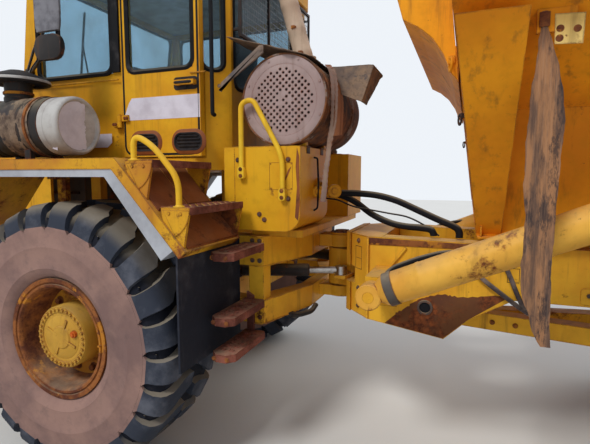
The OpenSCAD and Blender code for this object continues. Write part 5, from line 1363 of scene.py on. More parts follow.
def mirrorSet(form):
    form.look = 0
    form.box((-3.2195, -0.8715, 2.4555), (-3.1505, -0.8505, 2.5245), 0.004)
    for z in (2.468, 2.512):
        form.bolt((-3.165, -0.8712, z), (0, -1, 0), 0.014, 0.0004, False)
    arm = [(-3.185, -0.866, 2.49), (-2.76, -1.13, 2.495), (-2.64, -1.13, 2.505), (-2.6, -1.13, 2.56),
           (-2.6, -1.13, 3.079)]
    form.tube(bentPath(arm, 0.05, 7), mirror["tube"], 16)
    brace = [(-3.18, -0.88, 2.512), (-2.9, -1.052, 2.59), (-2.715, -1.128, 2.655), (-2.7, -1.13, 3.04)]
    form.tube(bentPath(brace, 0.05, 6), 0.0085, 12)
    for z in (2.69, 2.86, 3.02):
        form.box((-2.7105, -1.143, z - 0.012), (-2.588, -1.118, z + 0.012), 0.004)
        form.bolt((-2.65, -1.12, z), (0, 1, 0), 0.013, 0.006, False)
    form.plate(roundedRectangle(-2.7485, -2.5325, 2.4715, 2.6185, 0.055, 8), "Y", -1.1795, -1.145, 0.01)
    form.look = 3
    form.plate(roundedRectangle(-2.738, -2.543, 2.482, 2.608, 0.046, 8), "Y", -1.1452, -1.1412)
    form.look = 2
    form.lathe([(0.03, -0.002), (0.03, 0.004), (0.016, 0.007), (0.0001, 0.007)], (-2.65, -1.145, 2.545), "Y", 24)
    form.box((-2.664, -1.144, 2.5), (-2.606, -1.122, 2.528), 0.004)
    form.look = 1
    rings = []
    for i in range(31):
        t = i / 30
        z = 2.6415 + 0.417 * t
        half = 0.104 - 0.012 * (abs(2 * t - 1) ** 6)
        ring = []
        for k, a in enumerate(around(22)):
            x = copysign(abs(cos(a)) ** 0.45, cos(a)) * half
            y = copysign(abs(sin(a)) ** 0.55, sin(a)) * 0.015
            lump = waver(k * 1.3, t * 6, mirror["wrap"])
            ring.append((-2.645 + x - abs(lump) * copysign(0.5, x), -1.1595 + y * (1 - abs(lump) * 30), z))
        rings.append(ring)
    form.rings(rings)
    form.look = 3
    form.plate(roundedRectangle(-2.733, -2.557, 2.668, 3.034, 0.02), "Y", -1.147, -1.1442)


heads = Form()
heads.mirrored(mirrorSet)
heads.look = 4
cables = {1.0: [(-3.185, -0.88, 2.47), (-3.05, -0.985, 2.385), (-2.905, -1.08, 2.452), (-2.79, -1.135, 2.48),
                (-2.735, -1.146, 2.52)],
          0.8: [(-2.6, -1.148, 3.0), (-2.575, -1.15, 2.85), (-2.585, -1.15, 2.66), (-2.612, -1.146, 2.545)]}
for share, points in cables.items():
    heads.tube(roundedPath(points, 8), mirror["cable"] * share, 8)
heads.finish("mirrorHeads", [blackPaint, tapeGrey, flangeRust, mirrorGlass, hoseRubber], "front_unit", "dark_steel",
             ["mirrors"])


# Air cleaner: ribbed can, worn sleeve, dished pale end with a torn film, bands on feet, rain cap
cleaner = {"filmReach": 0.146, "louvres": 26, "y": -1.15, "aboveDeck": 0.207}
deck = -cleaner["aboveDeck"]
canEnd = high("air_cleaner").x - low("air_cleaner").x
wornSleeve = rustFinish("wornSleeve", (88, 72, 62), (140, 118, 98), (60, 56, 58), 0.08)
tin = Form(at(low("air_cleaner").x, cleaner["y"], fender["deckTop"] + cleaner["aboveDeck"]))
canRadius = 0.1795
profile = [(0.0001, 0.004), (0.12, 0.004), (0.15, 0.0), (0.176, 0.006), (canRadius, 0.02)]
for k in range(4):
    x = 0.06 + 0.058 * k                    # pressed rings
    profile += [(canRadius, x), (canRadius - 0.003, x + 0.006), (canRadius - 0.003, x + 0.014), (canRadius, x + 0.02)]
profile += [(canRadius, 0.296), (canRadius, 0.648), (0.172, 0.65), (0.15, 0.65)]
tin.lathe(profile, (0, 0, 0), "X", 72)
for x in (0.12, canEnd - 0.33):
    tin.lathe([(canRadius, 0), (0.1825, 0.002), (0.1825, 0.048), (canRadius, 0.05)], (x, 0, 0), "X", 72)
    for side in (-1, 1):
        y0, y1 = sorted((side * 0.085, side * 0.12))
        tin.box((x, y0, deck + 0.0003), (x + 0.05, y1, -0.13), 0.003)
    tin.box((x - 0.006, -0.128, deck + 0.0003), (x + 0.056, 0.128, deck + 0.009), 0.002)
    for y in (-0.11, 0.11):
        tin.bolt((x + 0.025, y, deck + 0.009), (0, 0, 1), 0.016, 0.009)
tin.look = 1
rings = []
for i in range(25):
    radii = [(a, 0.1825 + waver(i * 0.8, a, 0.003) + 0.0018 * sin(i * 1.6 + 2 * sin(a))) for a in around(72)]
    rings.append([(0.34 + 0.245 * i / 24, r * cos(a), r * sin(a)) for a, r in radii])
tin.rings(rings, caps=False)
tin.look = 2
tin.lathe([(0.1765, 0.64), (0.1895, 0.642), (0.1895, 0.66), (0.1765, 0.662)], (-0.095, 0, 0), "X", 72)
tin.look = 3
tin.lathe([(0.15, 0.648), (0.1755, 0.648), (0.1755, 0.69), (0.1725, 0.694), (0.1725, 0.706), (0.1755, 0.71),
           (0.1755, 0.778), (0.1735, 0.788), (0.166, 0.797), (0.158, 0.7995), (0.151, 0.796), (0.143, 0.781),
           (0.07, 0.773), (0.0001, 0.771)], (0, 0, 0), "X", 80)
tin.look = 4
film, filmSides = [], 60
for a in around(filmSides):
    reach = cleaner["filmReach"]
    if cos(a) > 0.18:
        reach = min(reach, 0.062 / max(cos(a), 0.2)) + waver(0.7, a * 3, 0.01)
    film.append((reach * cos(a), reach * sin(a)))
hubs = [tin.mesh.verts.new((x, 0, 0)) for x in (0.7745, 0.776)]
rims = [[tin.mesh.verts.new((x + 0.012 * (hypot(y, z) / 0.146) ** 3, y, z)) for y, z in film]
        for x in (0.775, 0.7765)]
for k in range(filmSides):
    j = (k + 1) % filmSides
    tin.face((hubs[0], rims[0][k], rims[0][j]))
    tin.face((hubs[1], rims[1][j], rims[1][k]))
    tin.face((rims[0][k], rims[1][k], rims[1][j], rims[0][j]))
shred = ((0, 0, 0.002), (0.046, -0.012, 0.006), (0.05, 0.022, 0.01), (0.01, 0.034, 0.004))
tin.rings([[(0.69 + u, -out - w, -0.14 + v + 0.2 * w) for u, v, w in shred] for out in (0.105, 0.107)])
tin.look = 0
capCentre = at(canEnd - 0.5, 0, 0.18)
tin.lathe([(0.0845, -0.02), (0.0845, 0.01), (0.08, 0.014), (0.08, 0.108)], capCentre, "Z", 48)
tin.look = 2
tin.lathe([(0.085, 0.03), (0.088, 0.032), (0.088, 0.046), (0.085, 0.048)], capCentre, "Z", 48)
tin.look = 5
tin.lathe([(0.08, 0.104), (0.178, 0.1005), (0.1865, 0.104), (0.1885, 0.112), (0.187, 0.126), (0.179, 0.131),
           (0.17, 0.136), (0.12, 0.158), (0.066, 0.178), (0.056, 0.1825), (0.0001, 0.1835)], capCentre, "Z", 72)
vane = ((-0.006, 0.098), (0.006, 0.1025), (0.006, 0.1045), (-0.006, 0.1))
for a in around(cleaner["louvres"]):
    arm, side = at(cos(a), sin(a), 0), at(-sin(a), cos(a), 0)
    tin.rings([[capCentre + arm * r + side * w + at(0, 0, h) for w, h in vane] for r in (0.095, 0.168)])
tin.look = 3
tin.lathe([(0.1889, 0.108), (0.1898, 0.112), (0.1885, 0.123), (0.1872, 0.1245)], capCentre, "Z", 72)
tin.finish("airCleaner", [blackPaint, wornSleeve, flangeRust, capGrey, stripeWhite, capPlasticBlack], "front_unit",
           "dark_steel", ["air_cleaner"])


# Hood: pressed louvres, side seams, bolts and latches
hood = {"side": 0.65, "louvres": 12, "louvrePitch": 0.036, "louvreBanks": (-4.42, -3.98), "latchX": (-4.55, -3.64)}
dress = Form()


def hoodSide(form):
    y = -hood["side"]
    form.look = 0
    for bank in hood["louvreBanks"]:
        for k in range(hood["louvres"]):
            z = 1.56 + k * hood["louvrePitch"]
            form.rings([[(bank + u, y + out, z + up)
                         for out, up in ((0.0005, 0), (-0.0125 * s, 0.004), (-0.0015 * s, 0.026), (0.0005, 0.027))]
                        for u, s in ((0.0, 0.05), (0.016, 1), (0.324, 1), (0.34, 0.05))])
    form.box((-4.95, y - 0.0022, 1.396), (-3.31, y + 0.001, 1.402))
    form.box((-3.52, y - 0.0022, 1.42), (-3.514, y + 0.001, 2.24))
    for k in range(7):
        form.bolt((-4.9 + 0.26 * k, y, 1.362), (0, -1, 0), 0.016, 0.006)
    form.look = 1
    for x in hood["latchX"]:
        form.box((x - 0.02, y - 0.01, 1.425), (x + 0.02, y + 0.001, 1.5), 0.003)
        form.box((x - 0.012, y - 0.02, 1.432), (x + 0.012, y - 0.008, 1.492))        # handle
        form.rod((x - 0.024, y - 0.012, 1.5), (x + 0.024, y - 0.012, 1.5), 0.005, 12)


dress.mirrored(hoodSide)
dress.finish("hoodDress", [yellowPaint, blackPaint], "hood", "painted_yellow")
print("mirrors, air cleaner and hood done")


# Bumper: lamp housings on top, bolts, a worn rubber strip
bumper = {"lampPlace": 0.9, "lampRadius": 0.078}
nose = Form()
faceX = -5.0             # the bumper's front face, behind the towing eye


def bumperSide(form):
    form.look = 0
    y, r = -bumper["lampPlace"], bumper["lampRadius"]
    lampAt = (faceX + 0.026, y, 1.305)
    form.plate(roundedRectangle(y - 0.115, y + 0.115, 1.2003, 1.41, 0.03), "X", faceX + 0.03, faceX + 0.165, 0.008)
    form.look = 1
    form.lathe([(0.0001, 0.02), (r - 0.012, 0.018), (r - 0.002, 0.004), (r, -0.004), (r + 0.006, -0.004),
                (r + 0.01, 0.004), (r + 0.01, 0.034)], lampAt, "X", 48)
    form.look = 2
    form.lathe([(0.0001, -0.002), (0.04, 0.0), (0.064, 0.004), (r - 0.001, 0.009)], lampAt, "X", 48)
    form.look = 3
    form.plate(roundedRectangle(y + 0.15, y + 0.23, 1.24, 1.3, 0.012), "X", faceX + 0.05, faceX + 0.11, 0.006)
    form.look = 0
    form.box((faceX + 0.06, y + 0.17, 1.2003), (faceX + 0.1, y + 0.21, 1.242), 0.002)
    for dz in (0.94, 1.16):
        for dy in (-0.18, 0.18):
            form.bolt((faceX, y + dy * 0.72, dz), (-1, 0, 0), 0.024, 0.013)
    form.look = 4
    form.box((faceX - 0.009, -1.03, 1.015), (faceX + 0.001, -0.26, 1.085), 0.004)
    for k in range(6):
        form.lathe([(0.01, 0), (0.009, 0.002), (0.0001, 0.0022)], (faceX - 0.0088, -0.98 + k * 0.132, 1.05), "X", 12,
                   outward=-1)


nose.mirrored(bumperSide)
nose.finish("bumperFittings", [blackPaint, greyCasting, lampLens, plugOrange, flapRubber], "front_unit",
            "painted_yellow")


# Engine: covers, pipes, bands and a filter on the block, seen when the hood is up and from below
engineLow, engineHigh = low("engine"), high("engine")
motor = Form()
half, top = 0.27, engineHigh.z
span = engineHigh - engineLow


def onEngine(share, y, z):
    return at(engineLow.x + span.x * share, y, z)


for k in range(6):
    x = engineLow.x + span.x * (0.1 + 0.145 * k)
    motor.look = 0
    motor.box((x, -0.11, top - 0.002), (x + span.x * 0.115, 0.11, top + 0.055), 0.014)
    motor.look = 1
    for y in (-0.075, 0.075):
        motor.bolt((x + span.x * 0.057, y, top + 0.055), (0, 0, 1), 0.016, 0.01)
    motor.rod((x + span.x * 0.05, -0.108, top + 0.015), (x + span.x * 0.05, -half + 0.02, top + 0.002), 0.007, 8)
motor.look = 0
pipe = [onEngine(share, half - 0.06, top + up)
        for share, up in ((0.08, -0.02), (0.08, 0.035), (0.9, 0.035), (0.9, -0.02))]
motor.tube(bentPath(pipe, 0.04, 5), 0.032, 16)
motor.look = 2
for side in (-1, 1):
    for k in range(3):
        z = engineLow.z + span.z * (0.28 + 0.2 * k)
        y0, y1 = sorted((side * (half - 0.001), side * (half + 0.012)))
        motor.box((engineLow.x + 0.06, y0, z), (engineHigh.x - 0.06, y1, z + 0.022), 0.003)
    for k in range(7):
        x = engineLow.x + 0.09 + k * (span.x - 0.18) / 6
        motor.bolt((x, side * half, engineLow.z + span.z * 0.14), (0, side, 0), 0.02, 0.012)
motor.look = 3
filterAt = onEngine(0.3, -half, engineLow.z)
motor.rod(filterAt + at(0, -0.05, 0.18), filterAt + at(0, -0.05, 0.33), 0.045, 28)
motor.look = 0
motor.box(filterAt + at(-0.03, -0.06, 0.328), filterAt + at(0.03, 0.002, 0.36), 0.006)
motor.finish("engineFittings", [greyCasting, flangeRust, darkRust, plugOrange], "front_unit", "dark_steel")
print("bumper and engine done")


# Turned pieces along any direction: stations are (distance, radius)
def turned(form, start, direction, stations, sides=32, looks=None):
    direction = Vector(direction).normalized()
    rings = [circle(Vector(start) + direction * along, direction, radius, sides) for along, radius in stations]
    if not looks:
        form.rings(rings)
        return
    for k, (first, second) in enumerate(zip(rings, rings[1:])):
        form.look = looks[k]
        form.rings([first, second], caps=False)
    form.look = 0


def weldBead(form, path, radius):
    form.tube(path, radius, 8, radii=[radius + 0.0008 * sin(i * 2.4) for i in range(len(path))])


# Steering cylinders: barrel with gland, ports and a pipe between them, on its eye
steering = {"barrel": 0.0446, "length": 0.52, "frontEye": (-1.74, 0.48), "rodEye": (-1.04, 0.23), "height": 1.1}
for side, name in ((-1, "left"), (1, "right")):
    base, rodPin = (at(x, side * y, steering["height"]) for x, y in (steering["frontEye"], steering["rodEye"]))
    along = (rodPin - base).normalized()
    barrel = Form()
    r, end = steering["barrel"], steering["length"]
    ports = (0.095, 0.42)
    turned(barrel, base, along, [(0.03, 0.03), (0.044, r - 0.001), (0.06, r - 0.001), (0.062, r), (0.07, r),
                                 (0.072, r - 0.001), (0.438, r - 0.001), (0.44, r + 0.0003), (end - 0.012, r + 0.0003),
                                 (end - 0.004, r - 0.006), (end, 0.0275), (end - 0.03, 0.0272)], 40)
    turned(barrel, base + at(0, 0, -0.0495), (0, 0, 1),
           [(0, 0.0215), (0, 0.037), (0.003, 0.0398), (0.096, 0.0398), (0.099, 0.037), (0.099, 0.0215)], 36)
    for spot in circle(base + along * (end - 0.01), along, 0.036, 8):
        barrel.bolt(spot, along, 0.009, 0.009, False)
    barrel.look = 1

    def above(distance, height):
        return base + along * distance + at(0, 0, r + height)

    for distance in ports:
        barrel.rod(above(distance, -0.004), above(distance, 0.022), 0.012, 20)
        barrel.rod(above(distance, 0.018), above(distance, 0.03), 0.015, 6)
    pipe = [above(ports[0], 0.012), above(ports[0], 0.034), above(0.38, 0.034), above(ports[1], 0.016)]
    barrel.tube(bentPath(pipe, 0.018, 5), 0.0065, 10)
    barrel.finish("steerBarrel_" + name, [blackPaint, greyCasting], "steer_barrel_" + name, "dark_steel",
                  ["steer_barrel_" + name])


# Hoses over the hitch: each runs between the box and the rear frame's top
hose = {"radius": 0.0216, "wire": 0.0055}
hoseRuns = [[(-1.1392, -0.33, 1.65), (-1.06, -0.33, 1.65), (-0.9, -0.33, 1.648), (-0.77, -0.331, 1.636),
             (-0.65, -0.336, 1.606), (-0.54, -0.341, 1.56), (-0.4, -0.346, 1.498), (-0.29, -0.35, 1.452),
             (-0.262, -0.35, 1.42), (-0.26, -0.35, 1.385)],
            [(-1.1392, -0.27, 1.64), (-1.06, -0.27, 1.638), (-0.94, -0.266, 1.59), (-0.82, -0.262, 1.506),
             (-0.7, -0.28, 1.456), (-0.6, -0.3, 1.438), (-0.5, -0.32, 1.434), (-0.434, -0.33, 1.426),
             (-0.414, -0.33, 1.4), (-0.412, -0.33, 1.387)]]
wireRun = [(-1.137, -0.3, 1.61), (-1.05, -0.3, 1.6), (-0.94, -0.305, 1.56), (-0.83, -0.3, 1.54), (-0.7, -0.31, 1.52),
           (-0.58, -0.312, 1.5), (-0.47, -0.318, 1.45), (-0.38, -0.322, 1.388)]


def bendingLine(name, points, steps, radius, sides, replaces=()):
    line = Form()
    line.tube(roundedPath(points, steps), radius, sides)
    piece = line.finish(name, [hoseRubber], None, "rubber", replaces)
    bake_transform(piece)


bendingLine("hitchHose_1", hoseRuns[0], 7, hose["radius"], 20, ["hitch_hoses"])
bendingLine("hitchHose_2", hoseRuns[1], 7, hose["radius"], 20)
bendingLine("hitchWire", wireRun, 6, hose["wire"], 10)

boxBack = -1.1396
joint = Form()
for y, z, size in ((-0.33, 1.65, 1.0), (-0.27, 1.64, 0.9)):
    turned(joint, (boxBack, y, z), (1, 0, 0),
           [(0, 0.034 * size), (0.01, 0.034 * size), (0.011, 0.0265), (0.03, 0.0265), (0.031, 0.031 * size),
            (0.042, 0.031 * size), (0.043, 0.0262), (0.074, 0.0255)], 32, [0, 0, 0, 0, 0, 1, 1])
port = at(boxBack, -0.45, 1.7)
turned(joint, port, (1, 0, 0),
       [(0, 0.05), (0.014, 0.05), (0.015, 0.028), (0.034, 0.028), (0.035, 0.046), (0.047, 0.046), (0.048, 0.0001)], 36)
joint.look = 1
for a in around(6):
    joint.bolt(port + at(0.0471, 0.036 * cos(a), 0.036 * sin(a)), (1, 0, 0), 0.011, 0.006, False)
joint.look = 2
loop = [(-1.136, -0.56, 1.88), (-1.112, -0.56, 1.876), (-1.108, -0.55, 1.7), (-1.112, -0.556, 1.56),
        (-1.136, -0.56, 1.545)]
joint.tube(bentPath(loop, 0.02, 5), 0.006, 10)
joint.look = 0
# round couplings beside the hoses
for x, y, z, size in ((-1.055, -0.37, 1.664, 0.046), (-1.118, -0.52, 1.664, 0.04)):
    turned(joint, (x, y, z), (0.35, -0.94, 0),
           [(-0.05, 0.024), (-0.016, 0.024), (-0.014, size - 0.004), (-0.01, size), (0.026, size), (0.03, size - 0.004),
            (0.031, 0.022), (0.036, 0.02), (0.037, 0.0001)], 36)
joint.look = 3
lowPipe = bentPath([(-1.64, -0.6, 0.93), (-1.5, -0.6, 0.905), (-1.39, -0.56, 0.852), (-1.29, -0.45, 0.806),
                    (-1.235, -0.3, 0.8), (-1.225, -0.235, 0.832)], 0.06, 6)
joint.tube(lowPipe, 0.0185, 16)
for k in (6, 16):           # clamps
    turned(joint, lowPipe[k], lowPipe[k + 1] - lowPipe[k], [(-0.008, 0.0215), (0.008, 0.0215)], 20)
joint.finish("hitchPipes", [yellowPaint, greyCasting, hoseRubber, blackPaint], "front_unit", "painted_yellow")


# Front frame: bolts of the tower, weld beads, worn edges of the steering pin's cap
tower = Form()
pinTop = at(-1.1, 0, 1.3442)
for side in (-1, 1):
    for z in (0.87, 0.94, 1.235, 1.3, 1.36):
        for x in (-1.475, -1.425):
            tower.bolt((x, side * 0.7605, z), (0, side, 0), 0.02, 0.009)
tower.look = 1
turned(tower, pinTop, (0, 0, 1), [(0, 0.084), (0.004, 0.084), (0.006, 0.052), (0.016, 0.048), (0.017, 0.0001)], 40)
tower.look = 0
for a in around(6):
    tower.bolt(pinTop + at(0.068 * cos(a), 0.068 * sin(a), 0.0036), (0, 0, 1), 0.015, 0.009)
tower.look = 2
for z in (1.2005, 1.3885, 0.8305, 0.9785):
    weldBead(tower, roundedPath([(-1.496, -0.7595, z), (-1.4, -0.7565, z), (-1.325, -0.504, z), (-1.252, -0.256, z)],
                                10), 0.0034)
tower.finish("towerFittings", [greyCasting, flangeRust, yellowFrame], "front_unit", "painted_yellow")
print("steering, hoses and tower done")


# Rear frame: worn top strip, stiffeners, bare plate places, rusty lower skirt with its boss, bolts
rearFrame = {"outer": 0.45, "platePlaces": ((0.38, 0.74), (1.86, 2.1), (2.96, 3.2))}
hoseBrown = rubberFinish("hoseBrown", (70, 62, 62), (132, 116, 106), 0.5, 6)
skirtRust = paintedFinish("skirtRust", (112, 72, 44), (92, 58, 42), rustShare=0.9, edgeRust=1, streaks=0.6, dust=0.2,
                          gloss=0.8)
beam = Form()


def frameTop(x):
    return 1.38 - 0.02 * (x + 0.8107) / 1.061 if x < 0.2503 else 1.36 - 0.02 * (x - 0.2503) / 3.71


def frameSide(form):
    y = -rearFrame["outer"]
    form.look = 1
    strip = [(x, frameTop(x) - down) for x, down in ((-0.806, 0.052), (-0.806, 0.006), (0.1, 0.006), (0.1, 0.02))]
    form.plate(strip + [(-0.2, 1.33)], "Y", y - 0.0042, y + 0.001, 0.0012)
    form.look = 2
    skirt = [(-0.69, 0.825), (-0.332, 0.769), (-0.192, 0.903), (0.046, 1.048), (-0.06, 1.066), (-0.24, 1.04),
             (-0.36, 1.052), (-0.48, 1.01), (-0.56, 0.93), (-0.64, 0.88)]
    ragged = []
    for k, ((x0, z0), (x1, z1)) in enumerate(zip(skirt[3:], skirt[4:])):
        ragged += [(x0 + (x1 - x0) * n / 8 + waver(k, n * 0.7, 0.01), z0 + (z1 - z0) * n / 8
                    + waver(k + 2, n * 0.9, 0.014))
                   for n in range(1, 8)]
    form.plate(skirt[:3] + ragged, "Y", y - 0.0012, y + 0.001)
    form.look = 0
    form.plate([(-0.8, 1.02), (-0.788, 1.016), (-0.56, 1.318), (-0.574, 1.326)], "Y", y - 0.014, y + 0.001, 0.002)
    form.plate([(-0.811, 0.846), (-0.797, 0.842), (-0.797, 1.37), (-0.811, 1.374)], "Y", y - 0.016, y + 0.001, 0.002)
    form.look = 3
    boss = (-0.443, y - 0.0018, 0.953)
    form.lathe([(0.048, 0.0), (0.048, 0.006), (0.0455, 0.01), (0.035, 0.01), (0.033, 0.006), (0.033, 0.0005)], boss,
               "Y", 40, outward=-1)
    form.look = 4
    form.lathe([(0.0335, 0.0005), (0.0001, 0.0005)], boss, "Y", 40, outward=-1)
    form.look = 3
    for x, z in ((-0.52, 1.16), (-0.38, 1.16), (-0.24, 1.15), (0.42, 1.11), (0.56, 1.105), (0.7, 1.105), (1.9, 1.1),
                 (2.06, 1.1), (3.0, 1.1), (3.16, 1.1)):
        form.bolt((x, y, z), (0, -1, 0), 0.024, 0.012)
    form.look = 0
    for x0, x1 in rearFrame["platePlaces"]:
        form.plate(roundedRectangle(x0, x1, 1.056, 1.15, 0.018), "Y", y - 0.006, y + 0.001, 0.002)
    form.look = 5
    outlinePlate(form, (0.01, 0.075, 1.15, 1.235), 0.003, y - 0.0009, y + 0.001)
    form.look = 3
    for k in range(10):
        form.lathe([(0.009, 0), (0.0075, 0.003), (0.0001, 0.0034)], (1.05 + k * 0.06, y, 1.322), "Y", 12, outward=-1)


def frameHoses(form):
    # Two slack hoses on the outside of the rail, below the hoist cylinder
    form.look = 6
    sideways = (-0.452, -0.47, -0.476, -0.476, -0.474, -0.452, -0.43)
    runs = [((-0.16, 1.192), (-0.15, 1.19), (-0.09, 1.14), (-0.01, 1.08), (0.07, 1.02), (0.11, 0.99), (0.13, 0.972)),
            ((-0.01, 1.246), (0.0, 1.24), (0.028, 1.18), (0.062, 1.096), (0.094, 1.03), (0.12, 1.0), (0.14, 0.98))]
    for run in runs:
        points = [(x, y, z) for (x, z), y in zip(run, sideways)]
        form.tube(roundedPath(points, 6), 0.0135, 14)
        form.lathe([(0.02, -0.001), (0.02, 0.01), (0.016, 0.013)], (points[0][0], -0.45, points[0][2]), "Y", 20,
                   outward=-1)


beam.mirrored(lambda form: (frameSide(form), frameHoses(form)))
slopeAlong = at(0.14, -0.15, 0).normalized()         # blank plate's place on the slanted front corner
slopeOut = at(-0.15, -0.14, 0).normalized()
corner = at(-0.9497, -0.3, 0) + slopeAlong * 0.06
beam.look = 5
for a, b, z0, z1 in ((0, 0.078, 1.3, 1.303), (0, 0.078, 1.15, 1.153), (0, 0.003, 1.15, 1.303),
                     (0.075, 0.078, 1.15, 1.303), (0, 0.078, 1.222, 1.224)):
    foot = [corner + slopeAlong * u + slopeOut * out for u, out in ((a, 0), (b, 0), (b, 0.001), (a, 0.001))]
    beam.rings([[(p.x, p.y, z) for p in foot] for z in (z0, z1)])
beam.look = 3
for z in (0.9, 1.02, 1.34):
    beam.bolt(corner + slopeAlong * 0.04 + at(0, 0, z), slopeOut, 0.022, 0.011)
beam.look = 0
for z in (0.8465, 1.3785):
    weldBead(beam, roundedPath([(-0.948, -0.299, z), (-0.88, -0.374, z), (-0.812, -0.449, z)], 14), 0.0035)
beam.finish("frameFittings", [yellowFrame, flangeRust, skirtRust, greyCasting, hoseRubber, darkRust, hoseBrown],
            "rear_unit", "painted_yellow")


# Stays and axles: strips along the seams, flange bolts, brake pipes
running = {"flangeBolts": 12, "flangeOut": 0.2995, "flangeShift": 0.04, "hubOut": 0.56}
gear = Form()


def stayFlange(form):
    form.look = 3
    a, b = at(-0.3297, -0.06, 0), at(1.61, -0.42, 0)
    along = (b - a).normalized()
    out = at(along.y, -along.x, 0)
    p, q = a + (b - a) * 0.3, a + (b - a) * 0.98
    foot = [p + out * 0.001, q + out * 0.001, q + out * -0.011, p + out * -0.011]
    for z in (0.7482, 0.8528):
        form.rings([[(v.x, v.y, z + h) for v in foot] for h in (0.0, 0.0035)])
    for share in (0.15, 0.22, 0.86, 0.93):
        p = a + (b - a) * share
        form.look = 1
        form.bolt((p.x, p.y + out.y * 0.001, 0.802), out if out.y < 0 else -out, 0.022, 0.012)


gear.mirrored(stayFlange)


def axleFittings(form, wheel):
    x, z = wheelCentre[wheel].x, wheelCentre[wheel].z

    def flange(side):
        return at(x + side * running["flangeOut"], running["flangeShift"], z)

    form.look = 1
    for a in around(running["flangeBolts"], pi / running["flangeBolts"]):
        for side in (-1, 1):
            form.bolt(flange(side) + at(0, 0.096 * cos(a), 0.096 * sin(a)), (side, 0, 0), 0.017, 0.01, False)
            form.bolt((x + 0.145 * cos(a), side * running["hubOut"], z + 0.145 * sin(a)), (0, -side, 0), 0.016, 0.008,
                      False)
    form.look = 0
    for side in (-1, 1):
        turned(form, flange(side), (side, 0, 0),
               [(0, 0.07), (0.012, 0.07), (0.014, 0.045), (0.034, 0.042), (0.036, 0.0001)], 32)
    form.look = 2
    half = [(-0.06, -0.54, 0.1), (-0.055, -0.4, 0.155), (-0.055, -0.18, 0.205)]
    pipe = [(x + u, y, z + up) for u, y, up in half + [(u, -y, up) for u, y, up in half[::-1]]]
    form.tube(bentPath(pipe, 0.05, 5), 0.0055, 8)


axleFittings(gear, "mid_left")
axleFittings(gear, "rear_left")
gear.finish("runningGearFittings", [greyCasting, flangeRust, hoseRubber, yellowFrame], "rear_unit", "dark_steel")
frontGear = Form()
axleFittings(frontGear, "front_left")
frontGear.finish("frontAxleFittings", [greyCasting, flangeRust, hoseRubber], "front_unit", "dark_steel")
print("frame and running gear done")


# Hoist cylinders: welded foot, grey collar, bands, gland with its bolts, a dark hose along the lower part that also
# paints the shade gap above the barrel
hoist = {"radius": 0.0915, "length": 1.96, "bands": (0.3, 0.9, 1.5)}
hoistFoot, hoistPin = at(-0.6997, -0.885, 1.115), at(1.3003, -0.885, 1.97)
hoistAlong = (hoistPin - hoistFoot).normalized()
lift = Form()


def hoistSide(form):
    r, end, foot = hoist["radius"], hoist["length"], hoistFoot
    form.look = 0
    turned(form, foot + at(0, -0.0595, 0), (0, 1, 0),
           [(0, 0.034), (0, 0.066), (0.005, 0.0715), (0.114, 0.0715), (0.119, 0.066), (0.119, 0.034)], 44)
    turned(form, foot, hoistAlong, [(0.045, 0.052), (0.075, 0.072), (0.098, r - 0.004), (0.104, r - 0.002)], 44)
    form.look = 1
    turned(form, foot, hoistAlong, [(0.1, r - 0.006), (0.102, r), (0.15, r), (0.152, r - 0.006)], 44)
    form.look = 0
    stations = [(0.148, r - 0.0035)]
    for band in hoist["bands"]:
        stations += [(band + along, r - down)
                     for along, down in ((-0.012, 0.003), (-0.008, 0.0006), (0.008, 0.0006), (0.012, 0.003))]
    stations += [(1.868, r - 0.003), (1.872, r), (1.935, r), (end - 0.012, r - 0.004), (end, r - 0.014), (end, 0.0615)]
    full = []
    for (d0, r0), (d1, r1) in zip(stations, stations[1:]):
        steps = max(1, int((d1 - d0) / 0.09))
        full += [(d0 + (d1 - d0) * k / steps, r0 + (r1 - r0) * k / steps) for k in range(steps)]
    full.append(stations[-1])
    form.rings([circle(foot + hoistAlong * d, hoistAlong, size, 44, dent=0.0009 if 0.2 < d < 1.85 else 0, seed=d * 9)
                for d, size in full])
    form.look = 2
    for spot in circle(foot + hoistAlong * (end - 0.006), hoistAlong, 0.072, 10):
        form.bolt(spot, hoistAlong, 0.013, 0.008, False)
    # A dark rubber hose along the barrel's top, sinking into its back so that it tapers like the dark gap above the
    # barrel: partly a hose, partly painted shade of that gap
    form.look = 3
    rise = steady(hoistAlong)[1]
    rise = rise if rise.z > 0 else -rise
    inner = rise * 0.86 + at(0, 0.51, 0)
    hoseAndShadePath = [foot + hoistAlong * 0.09 + rise * 0.05]
    hoseAndShadePath += [foot + hoistAlong * d + inner * (r + out)
                 for d, out in ((0.15, 0.014), (0.3, 0.018), (0.43, 0.006), (0.52, -0.022))]
    form.tube(bentPath(hoseAndShadePath, 0.04, 6), 0.017, 14)


lift.mirrored(hoistSide)
lift.finish("hoistBarrels", [yellowCylinder, greyCasting, flangeRust, hoseRubber], "hoist_barrels", "painted_yellow",
            ["hoist_barrels"])


# Load body: rings on the front corner, bolted light plate, ledges, weld seams, worn top edge
bodyPart = {"ring": 0.031, "ringBar": 0.0065}
boltedPlate = paintedFinish("boltedPlate", (238, 206, 128), (222, 182, 98), rustShare=0.45, streaks=0.4, dust=0.1,
                            gloss=0.6)
fittings = Form()


def ring(form, centre, normal, radius, bar):
    path = circle(centre, normal, radius, 28)
    form.tube(path + path[:1], bar, 10)


